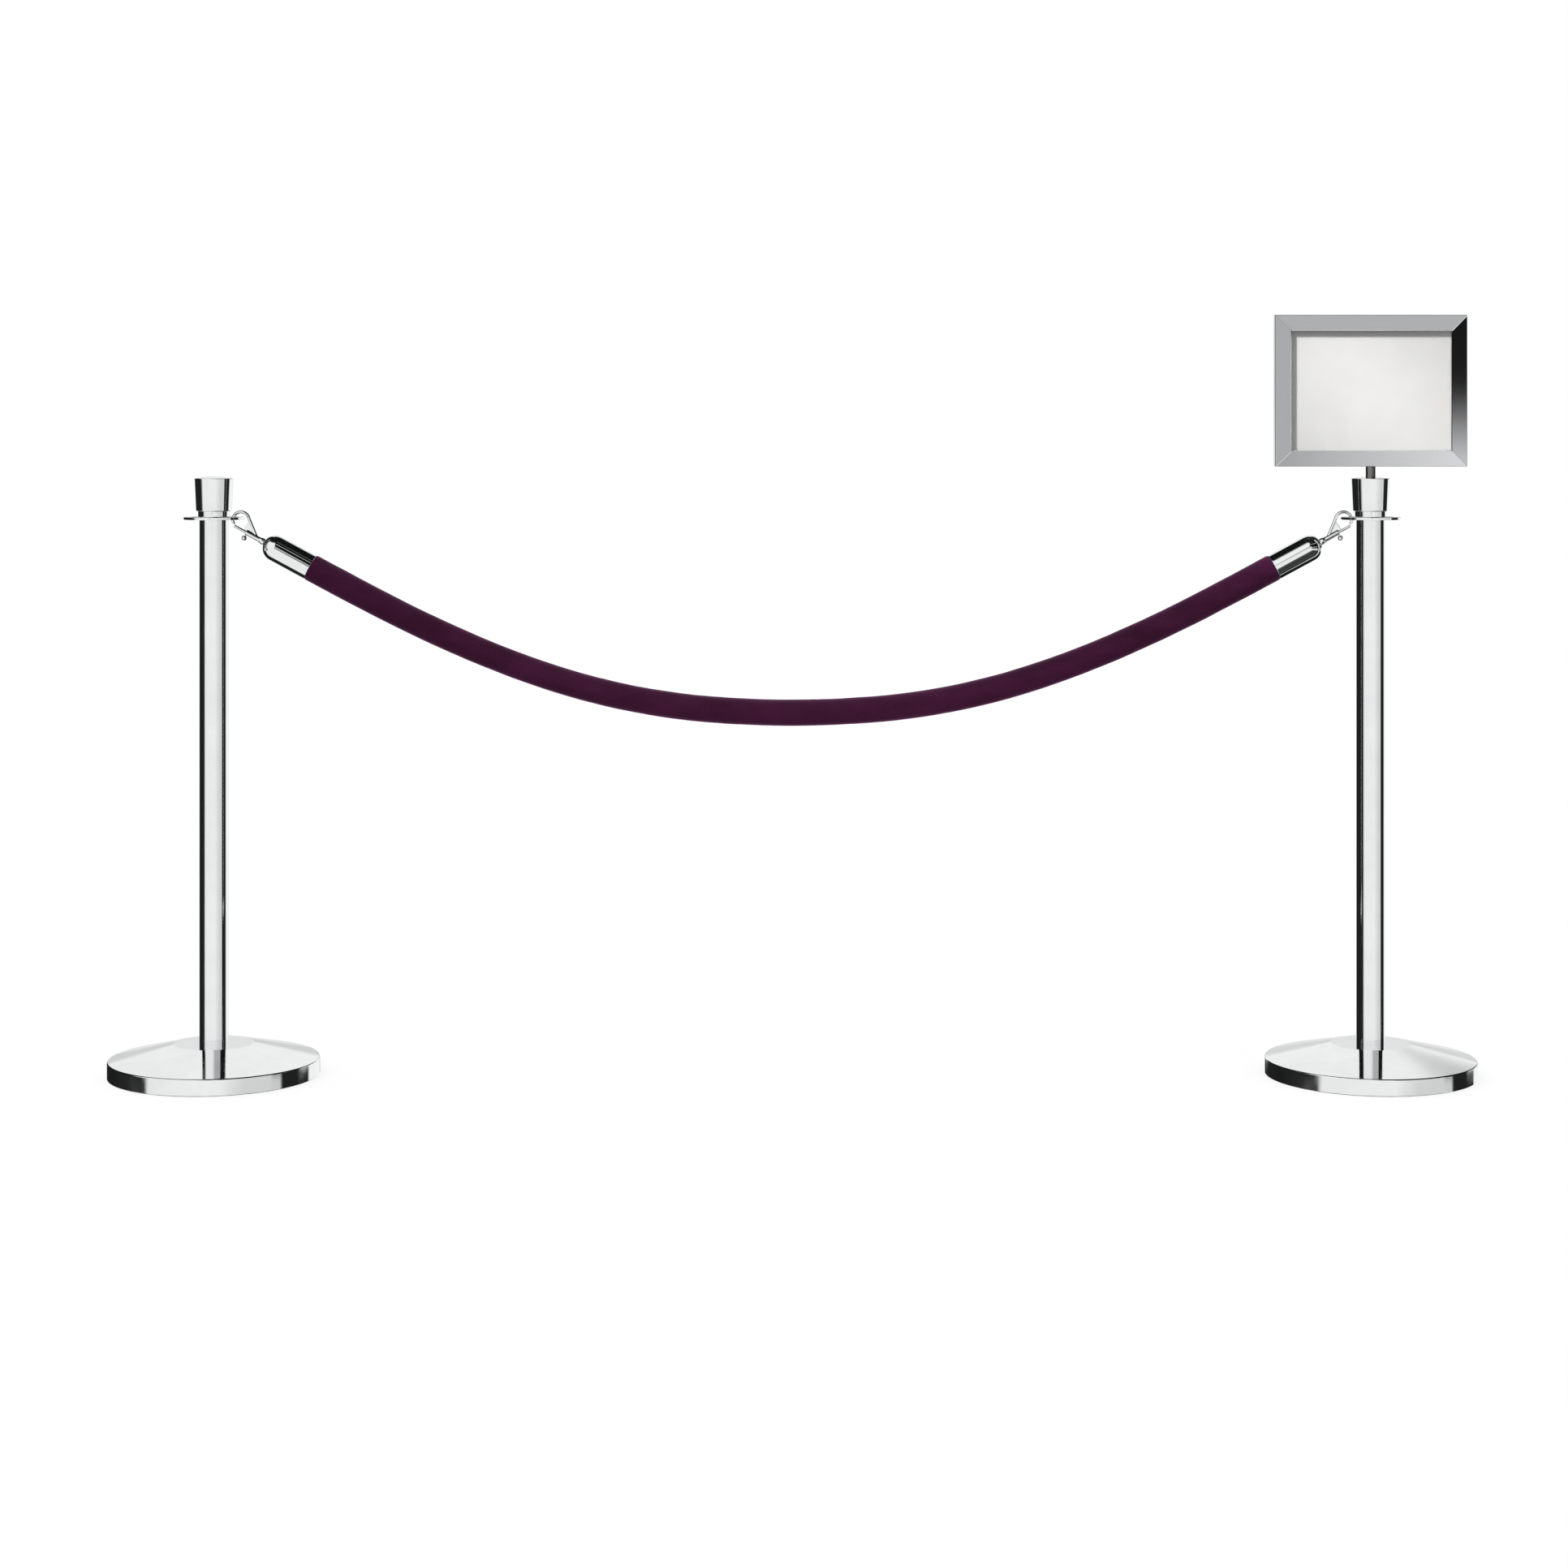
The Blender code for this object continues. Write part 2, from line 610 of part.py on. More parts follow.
def hook_body(side, turn, finish):
    """The casting: eye, web and barrel in one piece, bored for the latch and slotted for its knob."""
    barrel = turned(barrel_outline(), 20, (1, 0, 0))
    body = solid(f"{side}_hook_body", barrel, finish["chrome"], turn)
    eye = helper(f"{side}_eye_shape", extruded(eye_outline(), EYE_THICKNESS), turn)
    boolean(body, eye, "UNION")
    bore = rod(BORE_RADIUS, BORE_START, LATCH_FRONT + GAP, 16, (1, 0, 0))
    boolean(body, helper(f"{side}_bore_shape", bore, turn))
    rivet = rod(RIVET_RADIUS + HOLE_PLAY, -0.001, BOSS_LENGTH, 12, (1, 0, 0))
    boolean(body, helper(f"{side}_rivet_hole_shape", rivet, turn))
    wide = KNOB_STEM_RADIUS + GAP
    back = KNOB_PLACE - LATCH_TRAVEL - wide - GAP
    slot = block((back, -wide, -2 * BARREL_RADIUS), (BARREL_END + 0.002, wide, 0))
    boolean(body, helper(f"{side}_knob_slot_shape", slot, turn))


def hook_latch(side, turn, finish):
    """The sliding bolt that closes the eye, with its thumb knob in one piece."""
    slide = empty(f"{side}_latch_axis", (LATCH_BACK, 0, 0), parent=turn)
    length = LATCH_FRONT - LATCH_BACK
    latch = solid(f"{side}_hook_latch", rod(LATCH_RADIUS, 0, length, 14, (1, 0, 0)), finish["chrome"], slide)
    reach = KNOB_PLACE - LATCH_BACK
    stem = rod(KNOB_STEM_RADIUS, -KNOB_DROP, 0, 10)
    boolean(latch, helper(f"{side}_knob_stem_shape", stem, slide, (reach, 0, 0)), "UNION")
    ball = arc((0, -KNOB_DROP), KNOB_RADIUS, math.pi / 2, -math.pi / 2, 8)
    ball[0] = (0, ball[0][1])
    ball[-1] = (0, ball[-1][1])
    boolean(latch, helper(f"{side}_knob_shape", turned(ball, 14), slide, (reach, 0, 0)), "UNION")


def hook_spring(side, turn, finish):
    """The coil spring behind the latch."""
    start = BORE_START + SPRING_WIRE + GAP
    end = LATCH_BACK - SPRING_WIRE - GAP
    steps = SPRING_TURNS * 9
    points = []
    for i in range(steps + 1):
        angle = math.tau * SPRING_TURNS * i / steps
        along = start + (end - start) * i / steps
        points.append((along, SPRING_RADIUS * math.cos(angle), SPRING_RADIUS * math.sin(angle)))
    wire(f"{side}_hook_spring", points, SPRING_WIRE, 0, finish["steel"], turn)


def swivel(side, turn, finish):
    """The rivet that lets the hook turn in the cap's tip, with the washer under its head."""
    roof = -CAP_SHEET - GAP
    washer_back = roof - RIVET_WASHER
    head_front = washer_back - GAP
    head_back = head_front - RIVET_HEAD_HEIGHT
    washer = [
        (RIVET_HEAD_RADIUS, roof),
        (RIVET_HEAD_RADIUS, washer_back),
        (RIVET_RADIUS + HOLE_PLAY, washer_back),
        (RIVET_RADIUS + HOLE_PLAY, roof),
    ]
    solid(f"{side}_swivel_washer", turned(washer, 20, (1, 0, 0)), finish["steel"], turn)
    rivet = [
        (0, BOSS_LENGTH - GAP),
        (RIVET_RADIUS, BOSS_LENGTH - GAP),
        (RIVET_RADIUS, head_front),
        (RIVET_HEAD_RADIUS, head_front),
        (RIVET_HEAD_RADIUS, head_back),
        (0, head_back),
    ]
    solid(f"{side}_swivel_rivet", turned(rivet, 20, (1, 0, 0)), finish["steel"], turn)


def rope_end(side, swing, finish):
    """Everything beyond the velvet at one end. Both ends have their cap screw at the back."""
    sign_x = SIDES[side]
    mouth_x, mouth_z = ROPE_ROUTE[-1]
    facing = 0 if sign_x > 0 else math.pi
    place = Vector((sign_x * mouth_x, 0, mouth_z)) - swing.location
    mouth = empty(f"{side}_cap_mouth", place, (0, math.pi / 2 - ROPE_TILT, facing), swing)
    end_cap(side, mouth, finish)
    ahead = Vector((sign_x * math.cos(ROPE_TILT), 0, math.sin(ROPE_TILT)))
    tip = place + ahead * CAP_LENGTH
    turn = empty(f"{side}_hook_axis", tip, (0, -ROPE_TILT, facing), swing)
    hook_body(side, turn, finish)
    hook_latch(side, turn, finish)
    hook_spring(side, turn, finish)
    swivel(side, turn, finish)


def main():
    for old in list(bpy.data.objects):
        bpy.data.objects.remove(old)
    finish = all_materials()
    post("left", finish)
    right_stand = post("right", finish)
    stem_socket(right_stand, finish)
    sign(POST_SPACING / 2, finish)
    swing = empty("rope_swing_axis", (0, 0, RING_TOP))
    rope(swing, finish)
    for side in SIDES:
        rope_end(side, swing, finish)


main()
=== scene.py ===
"""Looks of the velvet barrier rope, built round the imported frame.

Metres, +Z up. +X runs along the barrier and the sign faces -Y, towards the camera.
"""

import math

import bmesh
import bpy
import numpy as np
from mathutils import Matrix, Vector, noise


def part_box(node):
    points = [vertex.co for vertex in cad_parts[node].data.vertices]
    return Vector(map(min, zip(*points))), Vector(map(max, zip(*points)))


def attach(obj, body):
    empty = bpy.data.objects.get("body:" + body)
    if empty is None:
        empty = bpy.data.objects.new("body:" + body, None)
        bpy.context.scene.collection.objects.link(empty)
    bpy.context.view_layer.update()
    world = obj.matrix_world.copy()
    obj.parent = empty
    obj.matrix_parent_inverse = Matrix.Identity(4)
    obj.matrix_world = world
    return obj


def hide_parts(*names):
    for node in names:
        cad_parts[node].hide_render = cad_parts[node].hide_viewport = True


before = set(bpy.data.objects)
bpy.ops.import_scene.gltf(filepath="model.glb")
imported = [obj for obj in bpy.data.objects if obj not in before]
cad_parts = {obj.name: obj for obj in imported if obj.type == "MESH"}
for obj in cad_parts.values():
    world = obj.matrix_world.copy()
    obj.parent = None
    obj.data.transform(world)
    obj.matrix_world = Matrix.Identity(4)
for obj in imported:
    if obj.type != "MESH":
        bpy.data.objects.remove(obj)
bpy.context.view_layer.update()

SIDES = {"left": -1, "right": 1}
GAP = 0.0003  # air round a piece in its bore or slot

# Rope. ROPE_ROUTE is the right-hand half of its centre line, from its lowest point to the cap's mouth.
ROPE_TILT = math.radians(28.5)  # of each end, upwards
ROPE_ROUTE = (
    (0.000, 0.5808),
    (0.080, 0.5829),
    (0.160, 0.5887),
    (0.240, 0.6003),
    (0.320, 0.6179),
    (0.400, 0.6418),
    (0.480, 0.6713),
    (0.560, 0.7058),
    (0.630, 0.7393),
    (0.700, 0.7753),
    (0.740, 0.7967),
    (0.7720, 0.8139),
)
VELVET_RADIUS = 0.0207
ROPE_RINGS = 640
TUCKED = ((0.0003, 0.0203), (0.0012, 0.0194), (0.010, 0.0192))  # (depth, radius) inside each cap's mouth
ROPE_SIDES = 72
SEAM_ANGLE = math.radians(205)  # round from the rope's top, over its front
CAP_RADIUS = 0.021
CAP_STRAIGHT = 0.0636
CAP_TIP_FLAT = 0.006
CAP_LENGTH = CAP_STRAIGHT + math.sqrt(CAP_RADIUS**2 - CAP_TIP_FLAT**2)

# Posts
PLATEAU_RADIUS = 0.0635
SKIRT_TOP = 0.027
SHEET = 0.0012
SLOT_INNER = 0.0265
SLOT_OUTER = 0.0365
SLOT_HALF_ANGLE = math.radians(31)
TUBE_WALL = 0.0015
BOLT_BORE = 0.0053
STUD_BORE = 0.0043
STUD_IN_HEAD = 0.0153
HEAD_SHOULDER = 0.9564
HEAD_FOOT_RADIUS = 0.0283
KEPT_IN_POST = ("base_washer", "base_bolt", "tube_plug_lower", "tube_plug_upper", "head_stud")

# Sign
RAIL_FACE = 0.026
RAIL_SLOPE = math.radians(7)  # each rail's face falls away to its outer edge
CHANNEL_WIDTH = 0.0036
TENON_RADIUS = 0.0055  # of the stem inside the bottom rail
BEVEL_RUN = 0.0018  # of the bevel on two of the mitres, along the rail
BEVEL_DROP = 0.0006
PLAY = 0.0005  # beside the sheets in their channel

# Snap hook, in its own frame: u away from the rope, v up, both from the cap's tip
BARREL_RADIUS = 0.0042
BARREL_END = 0.0345
BORE_RADIUS = 0.0026
BORE_START = 0.008
BOSS_RADIUS = 0.0054
EYE_CENTRE = (0.0507, 0.0133)
EYE_RADIUS = 0.013
EYE_WIRE = 0.0025
EYE_START = math.radians(141)
NOSE_ANGLE = math.radians(-62)
LATCH_RADIUS = 0.0023
LATCH_BACK = 0.0235
LATCH_FRONT = 0.0558
KNOB_PLACE = 0.0325
KNOB_RADIUS = 0.0044
KNOB_DROP = 0.0096
KNOB_STEM_RADIUS = 0.0012
LATCH_TRAVEL = 0.012
KEPT_ON_HOOK = ("swivel_rivet", "swivel_washer", "hook_spring")  # CAD nodes that stay as they are
RIVET_BORE = 0.0033
BOSS_LENGTH = 0.006

# Camera
CAMERA_PLACE = (-0.0133, -5.0, 1.026)
FOCAL_LENGTH = 71.61
SHIFT_Y = -0.2226


# Node graphs


class Graph:
    """A node tree with short ways to add a node, a sum or a ramp."""

    def __init__(self, tree):
        self.tree = tree
        tree.nodes.clear()

    def add(self, kind, inputs=None, **settings):
        made = self.tree.nodes.new(kind)
        for name, value in settings.items():
            setattr(made, name, value)
        for name, value in (inputs or {}).items():
            self.put(made.inputs[name], value)
        return made

    def put(self, socket, value):
        if isinstance(value, bpy.types.NodeSocket):
            self.tree.links.new(value, socket)
        else:
            socket.default_value = value

    def math(self, operation, *values):
        made = self.add("ShaderNodeMath", operation=operation)
        for socket, value in zip(made.inputs, values):
            self.put(socket, value)
        return made.outputs[0]

    def between(self, value, low, high, to_low=0.0, to_high=1.0, smooth=True):
        made = self.add("ShaderNodeMapRange", interpolation_type="SMOOTHSTEP" if smooth else "LINEAR")
        names = ("Value", "From Min", "From Max", "To Min", "To Max")
        for name, given in zip(names, (value, low, high, to_low, to_high)):
            self.put(made.inputs[name], given)
        return made.outputs["Result"]

    def ramp(self, factor, stops):
        """A colour ramp through (place, grey or colour) stops."""
        made = self.add("ShaderNodeValToRGB")
        line = made.color_ramp.elements
        while len(line) < len(stops):
            line.new(0.5)
        for element, (place, colour) in zip(line, stops):
            element.position = place
            element.color = (*colour, 1) if isinstance(colour, tuple) else (colour, colour, colour, 1)
        self.put(made.inputs["Fac"], factor)
        return made.outputs["Color"]

    def mix(self, factor, a, b):
        made = self.add("ShaderNodeMix", data_type="RGBA")
        self.put(made.inputs["Factor"], factor)
        self.put(made.inputs["A"], a)
        self.put(made.inputs["B"], b)
        return made.outputs["Result"]

    def noise(self, scale, stretch=(1, 1, 1), detail=4.0, roughness=0.55):
        """Noise in the piece's own metres; stretch makes it finer along an axis."""
        place = self.add("ShaderNodeTexCoord").outputs["Object"]
        scaled = self.add("ShaderNodeVectorMath", operation="MULTIPLY", inputs={0: place, 1: stretch})
        wanted = {"Vector": scaled.outputs[0], "Scale": scale, "Detail": detail, "Roughness": roughness}
        return self.add("ShaderNodeTexNoise", wanted).outputs["Fac"]

    def bump(self, height, distance, strength=1.0, after=None):
        wanted = {"Height": height, "Distance": distance, "Strength": strength}
        if after is not None:
            wanted["Normal"] = after
        return self.add("ShaderNodeBump", wanted).outputs["Normal"]


def grey(value):
    return (value, value, value, 1)


def surface(name, **constants):
    """A material with a Principled shader whose constants are set on its own sockets."""
    made = bpy.data.materials.new(name)
    made.use_nodes = True
    graph = Graph(made.node_tree)
    shader = graph.add("ShaderNodeBsdfPrincipled")
    for socket, value in constants.items():
        shader.inputs[socket.replace("_", " ")].default_value = value
    graph.add("ShaderNodeOutputMaterial", {"Surface": shader.outputs[0]})
    return made, graph, shader


# Materials


def chrome_finish():
    """Mirror polish, with the faint haze of handling and hairline polishing marks."""
    made, graph, shader = surface("polished_chrome", Metallic=1.0)
    smudge = graph.noise(22, detail=3)
    hair = graph.noise(60, (1, 1, 18), detail=2)
    tint = graph.ramp(smudge, [(0.3, (0.87, 0.885, 0.89)), (0.7, (0.93, 0.94, 0.94))])
    graph.put(shader.inputs["Base Color"], tint)
    graph.put(shader.inputs["Roughness"], graph.between(smudge, 0.35, 0.75, 0.035, 0.085))
    graph.put(shader.inputs["Normal"], graph.bump(hair, 0.00001, 0.35))
    return made


def steel_finish(name, colour, rough):
    """Plain machined or plated steel."""
    made, graph, shader = surface(name, Metallic=1.0)
    grain = graph.noise(350, detail=4)
    dark = tuple(0.75 * c for c in colour)
    graph.put(shader.inputs["Base Color"], graph.ramp(grain, [(0.3, dark), (0.7, colour)]))
    graph.put(shader.inputs["Roughness"], graph.between(grain, 0.3, 0.7, rough, rough + 0.15))
    graph.put(shader.inputs["Normal"], graph.bump(grain, 0.00004, 0.5))
    return made


def satin_finish(name, along):
    """Bright-dipped satin aluminium, its fine grain drawn along the rail."""
    made, graph, shader = surface(name, Metallic=1.0)
    stretch = (12, 1500, 1500) if along == "x" else (1500, 1500, 12)
    grain = graph.noise(1.0, stretch, detail=3, roughness=0.6)
    tone = graph.ramp(grain, [(0.25, (0.73, 0.735, 0.75)), (0.75, (0.77, 0.775, 0.79))])
    graph.put(shader.inputs["Base Color"], tone)
    graph.put(shader.inputs["Roughness"], graph.between(grain, 0.25, 0.75, 0.03, 0.05))
    graph.put(shader.inputs["Normal"], graph.bump(grain, 0.000004, 0.3))
    return made


def stem_finish():
    """Dark brushed steel, streaked along the stem."""
    made, graph, shader = surface("brushed_stem", Metallic=1.0)
    streak = graph.noise(1.0, (900, 900, 12), detail=3)
    tones = [(0.3, (0.12, 0.11, 0.1)), (0.6, (0.3, 0.29, 0.27)), (0.8, (0.45, 0.44, 0.42))]
    graph.put(shader.inputs["Base Color"], graph.ramp(streak, tones))
    graph.put(shader.inputs["Roughness"], graph.between(streak, 0.3, 0.7, 0.22, 0.38))
    graph.put(shader.inputs["Normal"], graph.bump(streak, 0.00003, 0.5))
    return made


def iron_finish():
    """Black-painted casting with a sandy skin."""
    made, graph, shader = surface("cast_iron", Metallic=0.5)
    sand = graph.noise(500, detail=5)
    tone = graph.ramp(sand, [(0.3, (0.03, 0.028, 0.027)), (0.7, (0.09, 0.08, 0.075))])
    graph.put(shader.inputs["Base Color"], tone)
    graph.put(shader.inputs["Roughness"], graph.between(sand, 0.3, 0.7, 0.6, 0.85))
    graph.put(shader.inputs["Normal"], graph.bump(sand, 0.0004, 0.8))
    return made


def rubber_finish():
    """Matte black rubber."""
    made, graph, shader = surface("black_rubber")
    grain = graph.noise(900, detail=3)
    graph.put(shader.inputs["Base Color"], graph.ramp(grain, [(0.3, 0.012), (0.7, 0.03)]))
    graph.put(shader.inputs["Roughness"], graph.between(grain, 0.3, 0.7, 0.75, 0.95))
    graph.put(shader.inputs["Normal"], graph.bump(grain, 0.0001, 0.6))
    return made


def cotton_finish():
    """Unbleached cotton, its strands drawn out along the rope."""
    made, graph, shader = surface("cotton_core", Sheen_Weight=0.3)
    strand = graph.noise(1.0, (350, 900, 900), detail=4)
    tone = graph.ramp(strand, [(0.3, (0.5, 0.45, 0.37)), (0.7, (0.75, 0.71, 0.62))])
    graph.put(shader.inputs["Base Color"], tone)
    graph.put(shader.inputs["Roughness"], graph.between(strand, 0.3, 0.7, 0.85, 1.0))
    graph.put(shader.inputs["Normal"], graph.bump(strand, 0.0006, 0.8))
    return made


def velvet_finish():
    """Short plum pile: it darkens where it stands towards the eye and lightens at grazing angles."""
    made, graph, shader = surface(
        "plum_velvet",
        Sheen_Weight=0.5,
        Sheen_Roughness=0.38,
        Sheen_Tint=(0.75, 0.3, 0.62, 1),
        Specular_IOR_Level=0.12,
    )
    pile = graph.noise(1500, detail=3, roughness=0.7)
    brushed = graph.noise(38, (0.35, 1, 1), detail=3)
    crushed = graph.noise(9, detail=2)
    nap = graph.math("ADD", graph.math("MULTIPLY", brushed, 0.6), graph.math("MULTIPLY", crushed, 0.4))
    deep = graph.ramp(nap, [(0.35, (0.031, 0.005, 0.0195)), (0.65, (0.051, 0.009, 0.0345))])
    tips = graph.ramp(pile, [(0.3, (0.5, 0.5, 0.5)), (0.72, (1.35, 1.3, 1.35))])
    both = graph.add("ShaderNodeMix", data_type="RGBA", blend_type="MULTIPLY")
    graph.put(both.inputs["Factor"], 0.55)
    graph.put(both.inputs["A"], deep)
    graph.put(both.inputs["B"], tips)
    graph.put(shader.inputs["Base Color"], both.outputs["Result"])
    graph.put(shader.inputs["Roughness"], graph.between(nap, 0.3, 0.7, 0.86, 0.98))
    soft = graph.bump(nap, 0.0006, 0.25)
    graph.put(shader.inputs["Normal"], graph.bump(pile, 0.0004, 0.6, soft))
    return made


def window_finish():
    """Clear acrylic that keeps a faint gloss over the paper."""
    made, graph, shader = surface("clear_window", Alpha=0.07, IOR=1.49)
    haze = graph.noise(40, detail=3)
    graph.put(shader.inputs["Base Color"], graph.ramp(haze, [(0.3, 0.88), (0.7, 0.95)]))
    graph.put(shader.inputs["Roughness"], graph.between(haze, 0.3, 0.7, 0.05, 0.12))
    return made


def paper_finish():
    """White card with a slightly cloudy tone and a fine fibre."""
    made, graph, shader = surface("white_card", Specular_IOR_Level=0.2)
    fibre = graph.noise(700, detail=4)
    cloud = graph.noise(25, detail=2)
    tone = graph.ramp(cloud, [(0.3, (0.80, 0.795, 0.785)), (0.7, (0.835, 0.83, 0.82))])
    graph.put(shader.inputs["Base Color"], tone)
    graph.put(shader.inputs["Roughness"], graph.between(fibre, 0.3, 0.7, 0.85, 0.95))
    graph.put(shader.inputs["Normal"], graph.bump(fibre, 0.00006, 0.5))
    return made


def all_finishes():
    return {
        "chrome": chrome_finish(),
        "steel": steel_finish("zinc_plated_steel", (0.5, 0.51, 0.52), 0.28),
        "satin_x": satin_finish("satin_aluminium_across", "x"),
        "satin_z": satin_finish("satin_aluminium_upright", "z"),
        "stem": stem_finish(),
        "iron": iron_finish(),
        "rubber": rubber_finish(),
        "cotton": cotton_finish(),
        "velvet": velvet_finish(),
        "window": window_finish(),
        "paper": paper_finish(),
    }


# Making pieces


def piece(name, shape, finish, matrix=None, sharp=40):
    """An object from a bmesh, smooth except where faces meet at more than the sharp angle, in degrees."""
    bmesh.ops.recalc_face_normals(shape, faces=shape.faces)
    mesh = bpy.data.meshes.new(name)
    shape.to_mesh(mesh)
    shape.free()
    mesh.shade_smooth()
    mesh.set_sharp_from_angle(angle=math.radians(sharp))
    made = bpy.data.objects.new(name, mesh)
    if matrix is not None:
        made.matrix_world = matrix
    mesh.materials.append(finish)
    bpy.context.scene.collection.objects.link(made)
    return made


def settle(obj):
    """Applies the object's modifiers to its mesh."""
    bpy.context.view_layer.update()
    graph = bpy.context.evaluated_depsgraph_get()
    done = bpy.data.meshes.new_from_object(obj.evaluated_get(graph))
    obj.modifiers.clear()
    old = obj.data
    obj.data = done
    done.name = obj.name
    bpy.data.meshes.remove(old)
    return obj


def cut(obj, shapes, sharp=40):
    """Takes each bmesh, given in the object's own frame, out of the object."""
    for shape in shapes:
        tool = piece("cutter", shape, None, obj.matrix_world.copy())
        modifier = obj.modifiers.new("cut", "BOOLEAN")
        modifier.operation = "DIFFERENCE"
        modifier.object = tool
        settle(obj)
        mesh = tool.data
        bpy.data.objects.remove(tool)
        bpy.data.meshes.remove(mesh)
    obj.data.shade_smooth()
    obj.data.set_sharp_from_angle(angle=math.radians(sharp))
    return obj


def at(x, y, z):
    return Matrix.Translation((x, y, z))


def arc(centre, radius, start, end, steps):
    """Points round a centre, from one angle to another."""
    angles = [start + (end - start) * i / steps for i in range(steps + 1)]
    return [(centre[0] + radius * math.cos(a), centre[1] + radius * math.sin(a)) for a in angles]


def softened(outline, radius, steps=4, closed=True):
    """The outline with each real corner rounded to a radius, or to less where its edges are short."""
    points = [Vector(p) for p in outline]
    result = []
    for i, corner in enumerate(points):
        ends = not closed and i in (0, len(points) - 1)
        before = points[i - 1] - corner
        after = points[(i + 1) % len(points)] - corner
        turn = math.pi - before.angle(after) if not ends and before.length and after.length else 0
        if turn < math.radians(12):
            result.append(tuple(corner))
            continue
        reach = min(radius * math.tan(turn / 2), 0.45 * before.length, 0.45 * after.length)
        start = corner + before.normalized() * reach
        end = corner + after.normalized() * reach
        for k in range(steps + 1):
            t = k / steps
            result.append(tuple(start * (1 - t) ** 2 + corner * 2 * t * (1 - t) + end * t**2))
    return result


def turned(outline, sides=96, axis="z"):
    """A solid of revolution from a loop of (radius, height) points."""
    shape = bmesh.new()
    rings = []
    for r, h in outline:
        count = sides if r > 1e-7 else 1
        ring = []
        for i in range(count):
            a = math.tau * i / sides
            x, y = r * math.cos(a), r * math.sin(a)
            ring.append(shape.verts.new((x, y, h) if axis == "z" else (h, x, y)))
        rings.append(ring)
    pairs = list(zip(rings, rings[1:]))
    if len(rings[0]) > 1 or len(rings[-1]) > 1:
        pairs.append((rings[-1], rings[0]))
    for first, second in pairs:
        for i in range(sides):
            corners = [first[i % len(first)], first[(i + 1) % len(first)]]
            corners += [second[(i + 1) % len(second)], second[i % len(second)]]
            face = list(dict.fromkeys(corners))
            if len(face) > 2:
                shape.faces.new(face)
    return shape


def rod(radius, start, end, sides=32, axis="z"):
    """A plain cylinder, which mostly serves to bore a hole."""
    return turned([(0, start), (radius, start), (radius, end), (0, end)], sides, axis)


def swept(points, radii, sides=24, blunt=0.4):
    """A round bar with a radius at each of its points, domed where it starts and blunter where it ends."""
    line = [Vector(p) for p in points]
    shape = bmesh.new()
    rings = []
    across = Vector((0, 1, 0))
    dome = (0.35, 0.7, 0.9)

    def ring(place, ahead, r):
        side = ahead.cross(across).normalized()
        turn = [math.tau * i / sides for i in range(sides)]
        spokes = [math.cos(a) * side + math.sin(a) * across for a in turn]
        rings.append([shape.verts.new(place + r * spoke) for spoke in spokes])

    first = (line[1] - line[0]).normalized()
    last = (line[-1] - line[-2]).normalized()
    for d in reversed(dome):
        ring(line[0] - first * radii[0] * d, first, radii[0] * math.sqrt(1 - d * d))
    for i, place in enumerate(line):
        ahead = line[min(i + 1, len(line) - 1)] - line[max(i - 1, 0)]
        ring(place, ahead.normalized(), radii[i])
    for d in dome:
        ring(line[-1] + last * radii[-1] * d * blunt, last, radii[-1] * math.sqrt(1 - d * d))
    for a, b in zip(rings, rings[1:]):
        for i in range(sides):
            j = (i + 1) % sides
            shape.faces.new((a[i], a[j], b[j], b[i]))
    shape.faces.new(rings[0])
    shape.faces.new(rings[-1])
    return shape


def plate(outline, thickness):
    """A flat outline in the X-Z plane, given thickness evenly to both sides of it."""
    shape = bmesh.new()
    face = shape.faces.new([shape.verts.new((x, -thickness / 2, z)) for x, z in outline])
    grown = bmesh.ops.extrude_face_region(shape, geom=[face])["geom"]
    moved = [item for item in grown if isinstance(item, bmesh.types.BMVert)]
    bmesh.ops.translate(shape, vec=(0, thickness, 0), verts=moved)
    return shape


def block(low, high):
    """A box between two opposite corners."""
    shape = bmesh.new()
    size = Vector(high) - Vector(low)
    bmesh.ops.create_cube(shape, size=1)
    bmesh.ops.scale(shape, vec=size, verts=shape.verts)
    bmesh.ops.translate(shape, vec=Vector(low) + size / 2, verts=shape.verts)
    return shape


def together(shapes):
    """One bmesh with a copy of each shape in it; the shapes are freed."""
    whole = bmesh.new()
    for shape in shapes:
        mesh = bpy.data.meshes.new("part")
        bmesh.ops.recalc_face_normals(shape, faces=shape.faces)
        shape.to_mesh(mesh)
        shape.free()
        whole.from_mesh(mesh)
        bpy.data.meshes.remove(mesh)
    return whole


def casting(name, shapes, finish, matrix, voxel, rounds):
    """Overlapping shapes flowed into one skin, as a die-cast piece is."""
    made = piece(name, together(shapes), finish, matrix)
    remesh = made.modifiers.new("one skin", "REMESH")
    remesh.mode = "VOXEL"
    remesh.voxel_size = voxel
    smooth = made.modifiers.new("flow", "SMOOTH")
    smooth.factor = 0.5
    smooth.iterations = rounds
    return settle(made)


def take(made, body, node):
    """The piece rides on the body in place of the CAD node, which is hidden; its flat faces keep flat
    shading.
    """
    flats = made.modifiers.new("flats stay flat", "WEIGHTED_NORMAL")
    flats.weight = 100
    flats.keep_sharp = True
    settle(made)
    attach(made, body)
    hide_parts(node)
    return made


# Posts


def middle(node):
    """The centre of a CAD node's box."""
    low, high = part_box(node)
    return (low + high) / 2


